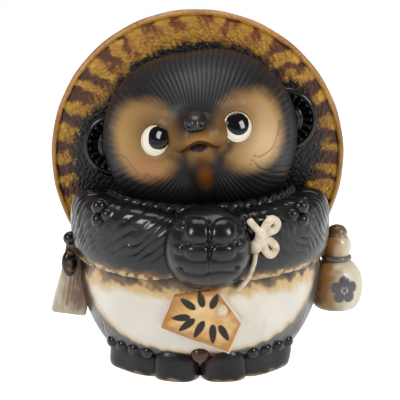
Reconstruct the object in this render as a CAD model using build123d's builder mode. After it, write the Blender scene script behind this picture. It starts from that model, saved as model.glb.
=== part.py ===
"""Glazed tanuki ornament, seated, with clasped paws, a straw hat, a sake flask and a passbook.

The figure is made the way a potter makes it: hollow castings for the torso, head, hat
and flask, and small pressed pieces luted on to them. Millimetres, +Z up, the figure looks
along -Y. Left and right are the figure's own: its left is +X. The origin is on the table
under the middle of the foot.
"""

import os
from math import cos, radians, sin, sqrt

from build123d import *

# Castings
STATUE_HEIGHT = 240
WALL = 6
BODY_RADIUS = 86
BODY_WIDEST_Z = 62
FOOT_RADIUS = 60
NECK_RADIUS = 42
NECK_Z = 120
BASE_HOLE_RADIUS = 14
BASE_HOLE_BACK = 34
NECK_HOLE_RADIUS = 22

# Head, in its own frame: x to the figure's left, -y out of the face, z up
HEAD_RADIUS = 68
HEAD_TOP = 57
HEAD_TAPER = 18
HEAD_FOOT_DROP = 46
HEAD_RISE = 35
HEAD_FORWARD = 2
HEAD_BACK = 30
HEAD_ROLL = -8.5
CHEEK_RADIUS = 30
CHEEK_PROUD = 3.5
CHEEK_TURN = 33
CHEEK_DROP = 13
BROW_RADIUS = 34
BROW_PROUD = 2
BROW_RISE = 33
MUZZLE_RADIUS = 20
MUZZLE_PROUD = 11
MUZZLE_RISE = 2
CHIN_RADIUS = 13
CHIN_PROUD = 4
CHIN_DROP = 20
NOSE_RADIUS = 7
NOSE_APART = 5
NOSE_PROUD = 2
NOSE_RISE = 16
EYE_RADIUS = 12.5
EYE_PROUD = 5
EYE_TURN = 23.5
EYE_RISE = 8
PUPIL_RADIUS = 8.5
PUPIL_PROUD = 2.5
PUPIL_LIFT = 8
PUPIL_SIDEWAYS = 6
EAR_RADIUS = 23
EAR_RIM_RADIUS = 5
EAR_THICKNESS = 5
EAR_SINK = 8
EAR_BACK = 6
TUFT_HALF_LENGTH = 9
TUFT_RADIUS = 4

# Hat, a cone of straw slung behind the head
HAT_RADIUS = 105
HAT_ACROSS = -2
HAT_BACK = 12
BRIM_THICKNESS = 8
BRIM_DISH = 8
LIP_WIDTH = 7
LIP_STEP = 2.5
CROWN_HEIGHT = 46
CROWN_BULGE = 5
CROWN_SEAT = 13
CROWN_TIP_RADIUS = 6
COURSE_COUNT = 5
COURSE_BULGE = 2

# Hat cord under the cheeks, and its knots on the shoulders
CORD_RADIUS = 4.5
CORD_OUT = 2
CORD_DROP = 6
CORD_HALF_SWEEP = 76
KNOT_RADIUS = 5.5
KNOT_SPREAD = 6
KNOT_TURN = 48
KNOT_LIFT = 40

# Arms and paws
ARM_SINK = 13
ARM_RADIUS = 16
ARM_STRAIGHT = 18
ARM_DROP = 28
ARM_SHOULDER_TURN = 88
ARM_WRIST_TURN = 20
PAW_ACROSS = 4.5
PALM_RADIUS = 28
PALM_BACK = 12
FINGER_COUNT = 4
FINGER_RADIUS = 7
FINGER_LENGTH = 16
FINGER_PITCH = 12
FINGER_TOP = 17
FINGER_PROUD = 4
CLAW_RADIUS = 3.2

# Lucky plaque and the bow that ties it
PLAQUE_WIDTH = 47
PLAQUE_WALL_HEIGHT = 23
PLAQUE_ROOF_RISE = 15
PLAQUE_THICKNESS = 8
PLAQUE_PROUD = 4.5
PLAQUE_DROP = 29
PLAQUE_ACROSS = -3
PLAQUE_LEAN = 22
PLAQUE_BEVEL = 1.5
PLAQUE_KNOT_RADIUS = 4
BOW_TURN = 28
BOW_LIFT = 9
BOW_KNOT_RADIUS = 4.5
LOOP_RADIUS = 5
LOOP_TUBE = 2.3
LOOP_LIFT = 8
LOOP_TURN = 5
END_HALF_LENGTH = 7
STRING_RADIUS = 2.2

# Sake flask on the left side
FLASK_RADIUS = 20
FLASK_FOOT = 2.5
FLASK_DROP = 18
FLASK_SINK = 6
FLASK_WALL = 4
FLASK_TURN = 93
FLASK_BORE_RADIUS = 4
FLASK_NECK_RADIUS = 10.5
FLASK_NECK_LAP = 3
BAND_RADIUS = 2.4
STOPPER_RADIUS = 6
STOPPER_PEG = 6

# Passbook on the right side
BOOK_THICKNESS = 22
BOOK_DEPTH = 32
BOOK_HEIGHT = 52
BOOK_DROP = 7
BOOK_SINK = 8
BOOK_LEAN = 9
BOOK_TURN = -86
BOOK_ROUND = 3
TOGGLE_HALF_LENGTH = 4
TOGGLE_RADIUS = 5.5
TOGGLE_RISE = 12
TOGGLE_OUT = 5

# Feet, pouch and tail
HEEL_RADIUS = 17
HEEL_HALF_LENGTH = 10
HEEL_TURN = 42
HEEL_SINK = 7
HEEL_Z = 8
TOE_COUNT = 4
TOE_RADIUS = 5.5
TOE_PITCH = 9
TOE_Z = 19
TOE_PROUD = 3
POUCH_RADIUS = 17
POUCH_TURN = 14
POUCH_SINK = 6
POUCH_Z = 8
POUCH_KNOT_RADIUS = 7
POUCH_KNOT_Z = 21
TAIL_RADIUS = 18
TAIL_TIP_RADIUS = 11
TAIL_HALF_LENGTH = 18
TAIL_TURN = 165
TAIL_SINK = 4
TAIL_Z = 16

# Worked-out places
FRONT = 270
QUARTER_TURN = 90
HEAD_FOOT_RADIUS = HEAD_RADIUS - HEAD_TAPER
EAR_OUT = HEAD_RADIUS - EAR_SINK
ARM_RING = BODY_RADIUS - ARM_SINK
ARM_Z = NECK_Z - ARM_DROP
PLAQUE_Z = BODY_WIDEST_Z - PLAQUE_DROP
FLASK_Z = BODY_WIDEST_Z - FLASK_DROP
BOOK_Z = BODY_WIDEST_Z - BOOK_DROP
SIDES = {"left": 1, "right": -1}
HEAD_PLACE = Location((0, -HEAD_FORWARD, NECK_Z + HEAD_RISE), (0, HEAD_ROLL, 0))
HAT_CENTRE = Vector(HAT_ACROSS, HAT_BACK, STATUE_HEIGHT - HAT_RADIUS)


def turned(turn):
    return Location((0, 0, 0), (0, 0, turn))


def lifted(lift):
    return Location((0, 0, 0), (0, -lift, 0))


def arc_from_widest(widest, end_radius, rise):
    """Radius of the arc that leaves the widest ring upright and meets an end ring."""
    step = widest - end_radius
    return (step**2 + rise**2) / (2 * step)


def torso_radius(z, inset=0):
    """Radius of the torso's skin, or of the skin inset into it, at a height."""
    if z < BODY_WIDEST_Z:
        arc_radius = arc_from_widest(BODY_RADIUS, FOOT_RADIUS, BODY_WIDEST_Z)
    else:
        arc_radius = arc_from_widest(BODY_RADIUS, NECK_RADIUS, NECK_Z - BODY_WIDEST_Z)
    return BODY_RADIUS - arc_radius + sqrt((arc_radius - inset) ** 2 - (z - BODY_WIDEST_Z) ** 2)


def shoulder_z(radius):
    """Height of the torso's shoulder at a radius."""
    arc_radius = arc_from_widest(BODY_RADIUS, NECK_RADIUS, NECK_Z - BODY_WIDEST_Z)
    return BODY_WIDEST_Z + sqrt(arc_radius**2 - (radius - BODY_RADIUS + arc_radius) ** 2)


def head_radius(z, inset=0):
    """Radius of the head's skin about its own upright axis, at a height from its widest ring."""
    arc_radius = HEAD_TOP if z > 0 else arc_from_widest(HEAD_RADIUS, HEAD_FOOT_RADIUS, HEAD_FOOT_DROP)
    return HEAD_RADIUS - arc_radius + sqrt((arc_radius - inset) ** 2 - z**2)


def around(turn, radius, z):
    """A place at a turn from the front towards the figure's left, with its x axis pointing out."""
    return turned(FRONT + turn) * Location((radius, 0, z))


def arm_skin(turn, rise):
    """A place on the arm's skin at a turn from the front and a rise over the arm's middle."""
    over = max(abs(rise) - ARM_STRAIGHT / 2, 0)
    return around(turn, ARM_RING + sqrt(ARM_RADIUS**2 - over**2), ARM_Z + rise)


def face(turn, rise, sink):
    """A place sunk under the skin of the face at a turn from its middle, with its x axis pointing out."""
    return HEAD_PLACE * around(turn, head_radius(rise) - sink, rise)


class Capsule(BasePartObject):
    """A round bar with ball ends, its axis along x, given by the half length between the balls' middles."""

    def __init__(self, radius, half_length, rotation=(0, 0, 0), mode=Mode.ADD):
        with BuildPart() as capsule:
            Cylinder(radius, 2 * half_length, rotation=(0, QUARTER_TURN, 0))
            with GridLocations(2 * half_length, 1, 2, 1):
                Sphere(radius)
        super().__init__(part=capsule.part, rotation=rotation, mode=mode)


ALONG_Y = (0, 0, QUARTER_TURN)
UPRIGHT = (0, QUARTER_TURN, 0)
ALONG_NEXT = (-QUARTER_TURN, 0, 0)


def torso_section(inset, floor, roof):
    """Half section of the torso between two heights, drawn to be revolved about its height."""
    with BuildSketch(Plane.XZ) as section:
        with BuildLine():
            widest = (BODY_RADIUS - inset, BODY_WIDEST_Z)
            low = (torso_radius(floor, inset), floor)
            high = (torso_radius(roof, inset), roof)
            TangentArc(widest, low, tangent=(0, -1))
            TangentArc(widest, high, tangent=(0, 1))
            Polyline(low, (0, floor), (0, roof), high)
        make_face()
    return section.sketch


def head_section(inset):
    """Half section of the head, drawn to be revolved about its own upright axis."""
    with BuildSketch(Plane.XZ) as section:
        with BuildLine():
            widest = (HEAD_RADIUS - inset, 0)
            top = (HEAD_RADIUS - HEAD_TOP, HEAD_TOP - inset)
            foot = (head_radius(-HEAD_FOOT_DROP, inset), -HEAD_FOOT_DROP)
            TangentArc(widest, top, tangent=(0, 1))
            TangentArc(widest, foot, tangent=(0, -1))
            Polyline(top, (0, top[1]), (0, foot[1]), foot)
        make_face()
    return section.sketch


def pair(right_piece):
    """A piece of the figure's right side, and its mirror image on the left."""
    return {"right": right_piece, "left": mirror(right_piece, about=Plane.YZ, mode=Mode.PRIVATE)}


def cut_by(*larger_pieces):
    """Cut the piece that is being made by the larger pieces that it is luted to."""
    for larger in larger_pieces:
        add(larger, mode=Mode.SUBTRACT)


# Torso: a hollow casting with a vent hole towards the back of its floor and a neck hole into the head
with BuildPart() as body_form:
    revolve(torso_section(0, 0, NECK_Z), axis=Axis.Z)

with BuildPart() as body_shell:
    add(body_form.part)
    revolve(torso_section(WALL, WALL, NECK_Z - WALL), axis=Axis.Z, mode=Mode.SUBTRACT)
    with Locations((0, BASE_HOLE_BACK, 0)):
        Cylinder(BASE_HOLE_RADIUS, WALL, align=(Align.CENTER, Align.CENTER, Align.MIN), mode=Mode.SUBTRACT)
    with Locations((0, 0, NECK_Z)):
        Cylinder(NECK_HOLE_RADIUS, WALL, align=(Align.CENTER, Align.CENTER, Align.MAX), mode=Mode.SUBTRACT)

# Table: what stands lower than the foot ring is cut away by it
with BuildPart() as table:
    Box(4 * BODY_RADIUS, 4 * BODY_RADIUS, BODY_RADIUS, align=(Align.CENTER, Align.CENTER, Align.MAX))

# Head: a hollow casting with full cheeks and brow, seated on the shoulders, open at the back inside the hat
with BuildPart() as head_back:
    with Locations((0, HEAD_BACK, NECK_Z + HEAD_RISE)):
        Box(4 * HEAD_RADIUS, 2 * HEAD_RADIUS, 4 * HEAD_RADIUS, align=(Align.CENTER, Align.MIN, Align.CENTER))

with BuildPart() as head_round:
    revolve(head_section(0), axis=Axis.Z)

with BuildPart() as head_hollow:
    revolve(head_section(WALL), axis=Axis.Z)

with BuildPart() as head_form:
    with Locations(HEAD_PLACE):
        add(head_round.part)
    for side in SIDES.values():
        with Locations(face(side * CHEEK_TURN, -CHEEK_DROP, CHEEK_RADIUS - CHEEK_PROUD)):
            Sphere(CHEEK_RADIUS)
    with Locations(face(0, BROW_RISE, BROW_RADIUS - BROW_PROUD)):
        Sphere(BROW_RADIUS)
    cut_by(head_back.part)

with BuildPart() as head_shell:
    add(head_form.part)
    with Locations(HEAD_PLACE):
        add(head_hollow.part, mode=Mode.SUBTRACT)
    cut_by(body_form.part)

# Face: the muzzle, chin and nose are pressed on to the head
with BuildPart() as muzzle:
    with Locations(face(0, MUZZLE_RISE, MUZZLE_RADIUS - MUZZLE_PROUD)):
        Sphere(MUZZLE_RADIUS)
    cut_by(head_form.part)

with BuildPart() as chin:
    with Locations(face(0, -CHIN_DROP, CHIN_RADIUS - CHIN_PROUD)):
        Sphere(CHIN_RADIUS)
    cut_by(head_form.part, muzzle.part)

with BuildPart() as nose:
    with Locations(face(0, NOSE_RISE, NOSE_RADIUS - MUZZLE_PROUD - NOSE_PROUD)):
        Capsule(NOSE_RADIUS, NOSE_APART / 2, rotation=ALONG_Y)
    cut_by(head_form.part, muzzle.part)


def eye_middle(side):
    """The middle of an eye's ball, sunk in the head."""
    return face(side * EYE_TURN, EYE_RISE, EYE_RADIUS - EYE_PROUD)


def make_eye(side):
    """A low white dome on the head."""
    with BuildPart() as eye:
        with Locations(eye_middle(side)):
            Sphere(EYE_RADIUS)
        cut_by(head_form.part, muzzle.part)
    return eye.part


def make_pupil(side):
    """A black bead on the eye, looking up and to the figure's left."""
    gaze = eye_middle(side) * turned(PUPIL_SIDEWAYS) * lifted(PUPIL_LIFT)
    with BuildPart() as pupil:
        with Locations(gaze * Location((EYE_RADIUS + PUPIL_PROUD - PUPIL_RADIUS, 0, 0))):
            Sphere(PUPIL_RADIUS, rotation=UPRIGHT)
        with Locations(gaze):
            Sphere(EYE_RADIUS, rotation=UPRIGHT, mode=Mode.SUBTRACT)
    return pupil.part


eyes = {name: make_eye(side) for name, side in SIDES.items()}
pupils = {name: make_pupil(side) for name, side in SIDES.items()}

# Ears: thin discs with a thick rim and a lock of fur, made in the head's own frame and rolled with it
TUFT_OUT = EAR_OUT + EAR_RADIUS - 2 * EAR_RIM_RADIUS - TUFT_RADIUS

with BuildPart() as right_ear:
    with Locations(Location((-EAR_OUT, EAR_BACK, 0), (QUARTER_TURN, 0, 0))):
        Cylinder(EAR_RADIUS - EAR_RIM_RADIUS, EAR_THICKNESS)
        Torus(EAR_RADIUS - EAR_RIM_RADIUS, EAR_RIM_RADIUS)
    cut_by(head_round.part)

with BuildPart() as right_tuft:
    with Locations((-TUFT_OUT, EAR_BACK - EAR_THICKNESS / 2, 0)):
        Capsule(TUFT_RADIUS, TUFT_HALF_LENGTH - TUFT_RADIUS, rotation=UPRIGHT)
    cut_by(right_ear.part, head_round.part)

ears = {name: HEAD_PLACE * ear for name, ear in pair(right_ear.part).items()}
tufts = {name: HEAD_PLACE * tuft for name, tuft in pair(right_tuft.part).items()}

# Hat: a dished brim with a rolled lip, and the cone behind it, of plaited courses, seated on the brim's back
HAT_AXIS = Axis(HAT_CENTRE, (0, 1, 0))
hat_plane = Plane(origin=HAT_CENTRE, x_dir=(1, 0, 0), z_dir=(0, 0, 1))
rim_back = (HAT_RADIUS, BRIM_THICKNESS)
seat_inner = (HAT_RADIUS - CROWN_SEAT, BRIM_THICKNESS + BRIM_DISH * CROWN_SEAT / HAT_RADIUS)

with BuildPart() as hat_brim:
    with BuildSketch(hat_plane):
        with BuildLine():
            dish_edge = (HAT_RADIUS - LIP_WIDTH, LIP_STEP)
            rim_front = (HAT_RADIUS, LIP_STEP)
            Polyline(rim_front, rim_back, (0, BRIM_THICKNESS + BRIM_DISH), (0, BRIM_DISH), dish_edge)
            ThreePointArc(dish_edge, (HAT_RADIUS - LIP_WIDTH / 2, 0), rim_front)
        make_face()
    revolve(axis=HAT_AXIS)
    cut_by(head_form.part, body_form.part, *ears.values())

with BuildPart() as hat_crown:
    with BuildSketch(hat_plane):
        with BuildLine():
            apex = BRIM_THICKNESS + CROWN_HEIGHT
            slope = SagittaArc(rim_back, (CROWN_TIP_RADIUS, apex), -CROWN_BULGE, mode=Mode.PRIVATE)
            for course in range(COURSE_COUNT):
                course_foot = slope @ (course / COURSE_COUNT)
                course_head = slope @ ((course + 1) / COURSE_COUNT)
                SagittaArc(course_foot, course_head, -COURSE_BULGE)
            Polyline(slope @ 1, (0, apex), (0, apex - WALL))
            SagittaArc((0, apex - WALL), seat_inner, CROWN_BULGE)
            Line(seat_inner, rim_back)
        make_face()
    revolve(axis=HAT_AXIS)
    cut_by(head_form.part, body_form.part)

hat = (hat_brim.part, hat_crown.part)

# Arms: they hug the torso from the shoulders to the wrists
with BuildPart() as right_arm:
    with BuildSketch(Plane.XZ.rotated((0, 0, FRONT - ARM_SHOULDER_TURN))):
        with Locations((ARM_RING, ARM_Z)):
            SlotCenterToCenter(ARM_STRAIGHT, 2 * ARM_RADIUS, rotation=QUARTER_TURN)
    revolve(axis=Axis.Z, revolution_arc=ARM_SHOULDER_TURN - ARM_WRIST_TURN)
    with Locations(around(-ARM_SHOULDER_TURN, ARM_RING, ARM_Z)):
        Capsule(ARM_RADIUS, ARM_STRAIGHT / 2, rotation=UPRIGHT)
    cut_by(body_form.part, head_form.part, *hat)

arms = pair(right_arm.part)
trunk = (body_form.part, *arms.values())

# Hat cord: it lies in the groove under the cheeks, half sunk in the arms or, where higher, the shoulders
cord_ring = (HEAD_RADIUS + torso_radius(NECK_Z - CORD_DROP)) / 2 + CORD_OUT
arm_top_z = ARM_Z + ARM_STRAIGHT / 2 + sqrt(ARM_RADIUS**2 - (ARM_RING - cord_ring) ** 2)
cord_z = max(arm_top_z, shoulder_z(cord_ring))

with BuildPart() as hat_cord:
    with BuildSketch(Plane.XZ.rotated((0, 0, FRONT - CORD_HALF_SWEEP))):
        with Locations((cord_ring, cord_z)):
            Circle(CORD_RADIUS)
    revolve(axis=Axis.Z, revolution_arc=2 * CORD_HALF_SWEEP)
    cut_by(*trunk, head_form.part, *ears.values(), *hat)

# Cord knots: one on the front of each shoulder, three lobes pressed together
knot_rise = ARM_STRAIGHT / 2 + ARM_RADIUS * sin(radians(KNOT_LIFT))

with BuildPart() as right_cord_knot:
    with Locations(arm_skin(-KNOT_TURN, knot_rise) * lifted(KNOT_LIFT - QUARTER_TURN)):
        with PolarLocations(KNOT_SPREAD / 2, 3):
            Sphere(KNOT_RADIUS)
    cut_by(*trunk, hat_cord.part)

cord_knots = pair(right_cord_knot.part)

# Paws: clasped in front of the chest, the fingers of the two sides meeting on one plane
finger_rises = [FINGER_TOP - row * FINGER_PITCH for row in range(FINGER_COUNT)]


def finger_middle(across, rise, out=0):
    """A place in a finger's axis, so that the finger stands proud of the palm at that rise."""
    palm_front = ARM_RING + sqrt(PALM_RADIUS**2 - rise**2)
    return Location((PAW_ACROSS + across, -palm_front - FINGER_PROUD + FINGER_RADIUS - out, ARM_Z + rise))


def make_paw(side):
    """One half of the clasped paws, with its fingers stacked down the front."""
    other_side = Align.MAX if side > 0 else Align.MIN
    with BuildPart() as paw:
        with Locations((PAW_ACROSS, -ARM_RING, ARM_Z)):
            Sphere(PALM_RADIUS)
        for rise in finger_rises:
            with Locations(finger_middle(side * FINGER_LENGTH / 2, rise)):
                Capsule(FINGER_RADIUS, FINGER_LENGTH / 2)
        with Locations((PAW_ACROSS, -ARM_RING, ARM_Z)):
            Box(BODY_RADIUS, 2 * BODY_RADIUS, BODY_RADIUS, align=(other_side, Align.CENTER, Align.CENTER),
                mode=Mode.SUBTRACT)
            with Locations((0, PALM_BACK, 0)):
                Box(BODY_RADIUS, BODY_RADIUS, BODY_RADIUS, align=(Align.CENTER, Align.MIN, Align.CENTER),
                    mode=Mode.SUBTRACT)
        cut_by(*trunk, head_form.part, chin.part, hat_cord.part)
    return paw.part


paws = {name: make_paw(side) for name, side in SIDES.items()}
chest = (*trunk, *paws.values())

with BuildPart() as paw_claws:
    with Locations(finger_middle(0, finger_rises[2], out=FINGER_RADIUS)):
        with GridLocations(2 * FINGER_LENGTH, 1, 2, 1):
            Sphere(CLAW_RADIUS)
    cut_by(*paws.values())

# Plaque: a house-shaped votive tablet that leans against the belly
plaque_y = -torso_radius(PLAQUE_Z + PLAQUE_WALL_HEIGHT / 2) - PLAQUE_PROUD
lean = radians(PLAQUE_LEAN)
plaque_foot = (PLAQUE_ACROSS, plaque_y, PLAQUE_Z)
plaque_plane = Plane(origin=plaque_foot, x_dir=(cos(lean), 0, -sin(lean)), z_dir=(0, -1, 0))

with BuildPart() as plaque:
    with BuildSketch(plaque_plane):
        with BuildLine():
            half = PLAQUE_WIDTH / 2
            eaves = PLAQUE_WALL_HEIGHT
            ridge = PLAQUE_WALL_HEIGHT + PLAQUE_ROOF_RISE
            Polyline((-half, 0), (half, 0), (half, eaves), (0, ridge), (-half, eaves), close=True)
        make_face()
    extrude(amount=-PLAQUE_THICKNESS)
    chamfer(plaque.faces().sort_by(Axis.Y)[0].edges(), PLAQUE_BEVEL)
    cut_by(*chest)

with BuildPart() as plaque_knot:
    with Locations(plaque_plane.location * Location((0, PLAQUE_WALL_HEIGHT, 0))):
        Sphere(PLAQUE_KNOT_RADIUS)
    cut_by(plaque.part, *chest)

# Bow: two loops, a knot and a short end on the left forearm
with BuildPart() as bow_knot:
    with Locations(arm_skin(BOW_TURN, BOW_LIFT) * Location((BOW_KNOT_RADIUS / 4, 0, 0))):
        Sphere(BOW_KNOT_RADIUS)
    cut_by(*chest)


def make_loop(way):
    """One loop of the bow, lying on the forearm."""
    with BuildPart() as loop:
        with Locations(arm_skin(BOW_TURN + LOOP_TURN, BOW_LIFT + way * LOOP_LIFT)):
            Torus(LOOP_RADIUS, LOOP_TUBE, rotation=UPRIGHT)
        cut_by(*chest, bow_knot.part)
    return loop.part


bow_upper_loop = make_loop(1)
bow_lower_loop = make_loop(-1)
bow = (bow_knot.part, bow_upper_loop, bow_lower_loop)

with BuildPart() as bow_end:
    with Locations(arm_skin(BOW_TURN - LOOP_TURN, BOW_LIFT + LOOP_LIFT)):
        Capsule(STRING_RADIUS, END_HALF_LENGTH - STRING_RADIUS, rotation=UPRIGHT)
    cut_by(*chest, *bow)

# String: from the bow down over the forearm to the plaque
string_top = arm_skin(BOW_TURN - LOOP_TURN, BOW_LIFT - LOOP_LIFT).position
string_foot = (plaque_plane.location * Location((PLAQUE_WIDTH / 3, PLAQUE_WALL_HEIGHT, 0))).position
string_bulge = (string_top + string_foot) * 0.5 - Vector(0, 2 * STRING_RADIUS, 0)

with BuildPart() as plaque_string:
    with BuildLine():
        path = ThreePointArc(string_top, string_bulge, string_foot)
    with BuildSketch(Plane(origin=path @ 0, z_dir=path % 0)):
        Circle(STRING_RADIUS)
    sweep()
    cut_by(*chest, plaque.part, *bow)

# Flask: a gourd with a foot, a tied waist, a narrow bore and a stopper
flask_place = around(FLASK_TURN, torso_radius(FLASK_Z) + FLASK_RADIUS - FLASK_SINK, FLASK_Z)
NECK_LIFT = FLASK_RADIUS + FLASK_NECK_RADIUS - FLASK_NECK_LAP

with BuildPart() as flask_body:
    with Locations(flask_place):
        Sphere(FLASK_RADIUS)
        Sphere(FLASK_RADIUS - FLASK_WALL, mode=Mode.SUBTRACT)
        Cylinder(FLASK_BORE_RADIUS, 2 * FLASK_RADIUS, align=(Align.CENTER, Align.CENTER, Align.MIN),
                 mode=Mode.SUBTRACT)
        with Locations((0, 0, FLASK_FOOT - FLASK_RADIUS)):
            Box(2 * FLASK_RADIUS, 2 * FLASK_RADIUS, FLASK_RADIUS,
                align=(Align.CENTER, Align.CENTER, Align.MAX), mode=Mode.SUBTRACT)
    cut_by(*trunk, *hat)

with BuildPart() as flask_neck:
    with Locations(flask_place):
        with Locations((0, 0, NECK_LIFT)):
            Sphere(FLASK_NECK_RADIUS)
            Cylinder(FLASK_BORE_RADIUS, 3 * FLASK_NECK_RADIUS, mode=Mode.SUBTRACT)
        Sphere(FLASK_RADIUS, mode=Mode.SUBTRACT)
    cut_by(*trunk, *hat)

with BuildPart() as flask_band:
    with Locations(flask_place):
        with Locations((0, 0, FLASK_RADIUS - FLASK_NECK_LAP / 2)):
            Torus(FLASK_NECK_RADIUS - BAND_RADIUS, BAND_RADIUS)
        Sphere(FLASK_RADIUS, mode=Mode.SUBTRACT)
    cut_by(flask_neck.part, *trunk, *hat)

with BuildPart() as flask_stopper:
    with Locations(flask_place * Location((0, 0, NECK_LIFT + FLASK_NECK_RADIUS))):
        Sphere(STOPPER_RADIUS)
        Cylinder(FLASK_BORE_RADIUS, STOPPER_PEG, align=(Align.CENTER, Align.CENTER, Align.MAX))
    cut_by(flask_neck.part, *trunk, *hat)

# Passbook: a fat tied book that leans in at the top, with its toggle and knot on the front edge
book_radius = torso_radius(BOOK_Z) + BOOK_THICKNESS / 2 - BOOK_SINK
book_place = around(BOOK_TURN, book_radius, BOOK_Z) * lifted(BOOK_LEAN)

with BuildPart() as passbook:
    with Locations(book_place):
        Box(BOOK_THICKNESS, BOOK_DEPTH, BOOK_HEIGHT)
    fillet(passbook.edges(), BOOK_ROUND)
    cut_by(*trunk, *hat)

with BuildPart() as passbook_toggle:
    with Locations(book_place * Location((TOGGLE_OUT, BOOK_DEPTH / 2, TOGGLE_RISE))):
        Capsule(TOGGLE_RADIUS, TOGGLE_HALF_LENGTH, rotation=UPRIGHT)
    cut_by(passbook.part, *trunk)

with BuildPart() as passbook_knot:
    with Locations(book_place * Location((TOGGLE_OUT, BOOK_DEPTH / 2 - KNOT_RADIUS, BOOK_HEIGHT / 2))):
        Sphere(KNOT_RADIUS)
    cut_by(passbook.part, passbook_toggle.part, *trunk)


# Feet: they show under the belly, flat on the table, with the toes pressed on over them
with BuildPart() as right_foot:
    with Locations(around(-HEEL_TURN, torso_radius(HEEL_Z) - HEEL_SINK, HEEL_Z)):
        Capsule(HEEL_RADIUS, HEEL_HALF_LENGTH, rotation=ALONG_Y)
    cut_by(body_form.part, table.part)

with BuildPart() as right_toes:
    for toe in range(TOE_COUNT):
        toe_turn = (toe - (TOE_COUNT - 1) / 2) * TOE_PITCH - HEEL_TURN
        with Locations(around(toe_turn, torso_radius(TOE_Z) + TOE_PROUD, TOE_Z)):
            Sphere(TOE_RADIUS)
    cut_by(body_form.part, right_foot.part)

feet = pair(right_foot.part)
toes = pair(right_toes.part)

# Money pouch: two lobes between the feet, flat against each other, and its knot
with BuildPart() as right_pouch:
    with Locations(around(-POUCH_TURN, torso_radius(POUCH_Z) - POUCH_SINK, POUCH_Z)):
        Sphere(POUCH_RADIUS)
    Box(BODY_RADIUS, 4 * BODY_RADIUS, BODY_RADIUS, align=(Align.MIN, Align.CENTER, Align.CENTER),
        mode=Mode.SUBTRACT)
    cut_by(body_form.part, right_foot.part, table.part)

pouches = pair(right_pouch.part)

with BuildPart() as pouch_knot:
    with Locations(around(0, torso_radius(POUCH_KNOT_Z), POUCH_KNOT_Z)):
        Sphere(POUCH_KNOT_RADIUS)
    cut_by(body_form.part, *pouches.values())

# Tail: a brush that lies along the back of the foot ring and thins towards the figure's right
with BuildPart() as tail:
    with Locations(around(TAIL_TURN, torso_radius(TAIL_Z) - TAIL_SINK, TAIL_Z)):
        Cone(TAIL_RADIUS, TAIL_TIP_RADIUS, 2 * TAIL_HALF_LENGTH, rotation=ALONG_NEXT)
        with Locations((0, -TAIL_HALF_LENGTH, 0)):
            Sphere(TAIL_RADIUS)
        with Locations((0, TAIL_HALF_LENGTH, 0)):
            Sphere(TAIL_TIP_RADIUS)
    cut_by(body_form.part, table.part)

single_pieces = {
    "body_shell": body_shell.part,
    "head_shell": head_shell.part,
    "muzzle": muzzle.part,
    "chin": chin.part,
    "nose": nose.part,
    "hat_brim": hat_brim.part,
    "hat_crown": hat_crown.part,
    "hat_cord": hat_cord.part,
    "paw_claws": paw_claws.part,
    "plaque": plaque.part,
    "plaque_knot": plaque_knot.part,
    "plaque_string": plaque_string.part,
    "bow_knot": bow_knot.part,
    "bow_upper_loop": bow_upper_loop,
    "bow_lower_loop": bow_lower_loop,
    "bow_end": bow_end.part,
    "flask_body": flask_body.part,
    "flask_neck": flask_neck.part,
    "flask_band": flask_band.part,
    "flask_stopper": flask_stopper.part,
    "passbook": passbook.part,
    "passbook_toggle": passbook_toggle.part,
    "passbook_knot": passbook_knot.part,
    "pouch_knot": pouch_knot.part,
    "tail": tail.part,
}
paired_pieces = {
    "eye": eyes,
    "pupil": pupils,
    "ear": ears,
    "ear_tuft": tufts,
    "arm": arms,
    "cord_knot": cord_knots,
    "paw": paws,
    "foot": feet,
    "toes": toes,
    "pouch_lobe": pouches,
}
pieces = dict(single_pieces)
for name, both_sides in paired_pieces.items():
    for side, part in both_sides.items():
        pieces[f"{side}_{name}"] = part

os.makedirs("parts", exist_ok=True)
for name, part in pieces.items():
    part.label = name
    export_step(part, f"parts/{name}.step")
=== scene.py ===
# %% [markdown]
# # A glazed tanuki ornament
# The ornament is slip-cast clay, carved while it is soft, sprayed with iron-black, amber and cream
# glazes and fired once. Everything about its look comes from that: soft-edged colours, carved fur that
# the glaze has rounded over, and a skin that is wet-bright where the glaze is thick and satin where
# it is thin. The CAD pieces give the places and sizes. Here each piece is carved anew, in millimetres,
# in the same frame, and made metres at the end.

from math import cos, pi, radians, sin, sqrt

import bmesh
import bpy
import numpy as np
from mathutils import Matrix, Vector


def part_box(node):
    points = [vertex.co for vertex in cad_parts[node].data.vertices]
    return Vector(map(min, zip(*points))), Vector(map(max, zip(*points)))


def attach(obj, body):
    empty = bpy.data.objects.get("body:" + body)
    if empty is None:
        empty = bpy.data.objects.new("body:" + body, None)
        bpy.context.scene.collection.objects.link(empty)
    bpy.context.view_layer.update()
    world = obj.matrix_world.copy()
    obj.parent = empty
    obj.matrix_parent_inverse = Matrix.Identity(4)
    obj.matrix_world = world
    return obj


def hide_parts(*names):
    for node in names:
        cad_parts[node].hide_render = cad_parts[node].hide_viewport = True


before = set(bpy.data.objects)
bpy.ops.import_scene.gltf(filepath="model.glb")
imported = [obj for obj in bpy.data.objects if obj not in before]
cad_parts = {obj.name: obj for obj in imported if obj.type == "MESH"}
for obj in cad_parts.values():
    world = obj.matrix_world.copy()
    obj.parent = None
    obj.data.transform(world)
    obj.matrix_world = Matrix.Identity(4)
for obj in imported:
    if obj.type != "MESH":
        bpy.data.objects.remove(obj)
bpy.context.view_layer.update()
MM = 0.001
SIDES = {"left": 1, "right": -1}

# %% [markdown]
# ## Tools for carving
# The fur of the real piece was cut by hand into soft clay. In Blender that could be done with sculpting
# brushes, but a brush stroke can't be written down and changed later. So carving is done with fields:
# a function takes all the vertices of a piece at once, as an array, and says where they go. Three
# small curves do nearly all of it: a smooth step, a soft hump, and an unevenness made of a few crossed
# waves, which stands for the maker's hand.

# %% Curves for carving
UNEVEN_WAVES = 7


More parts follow.
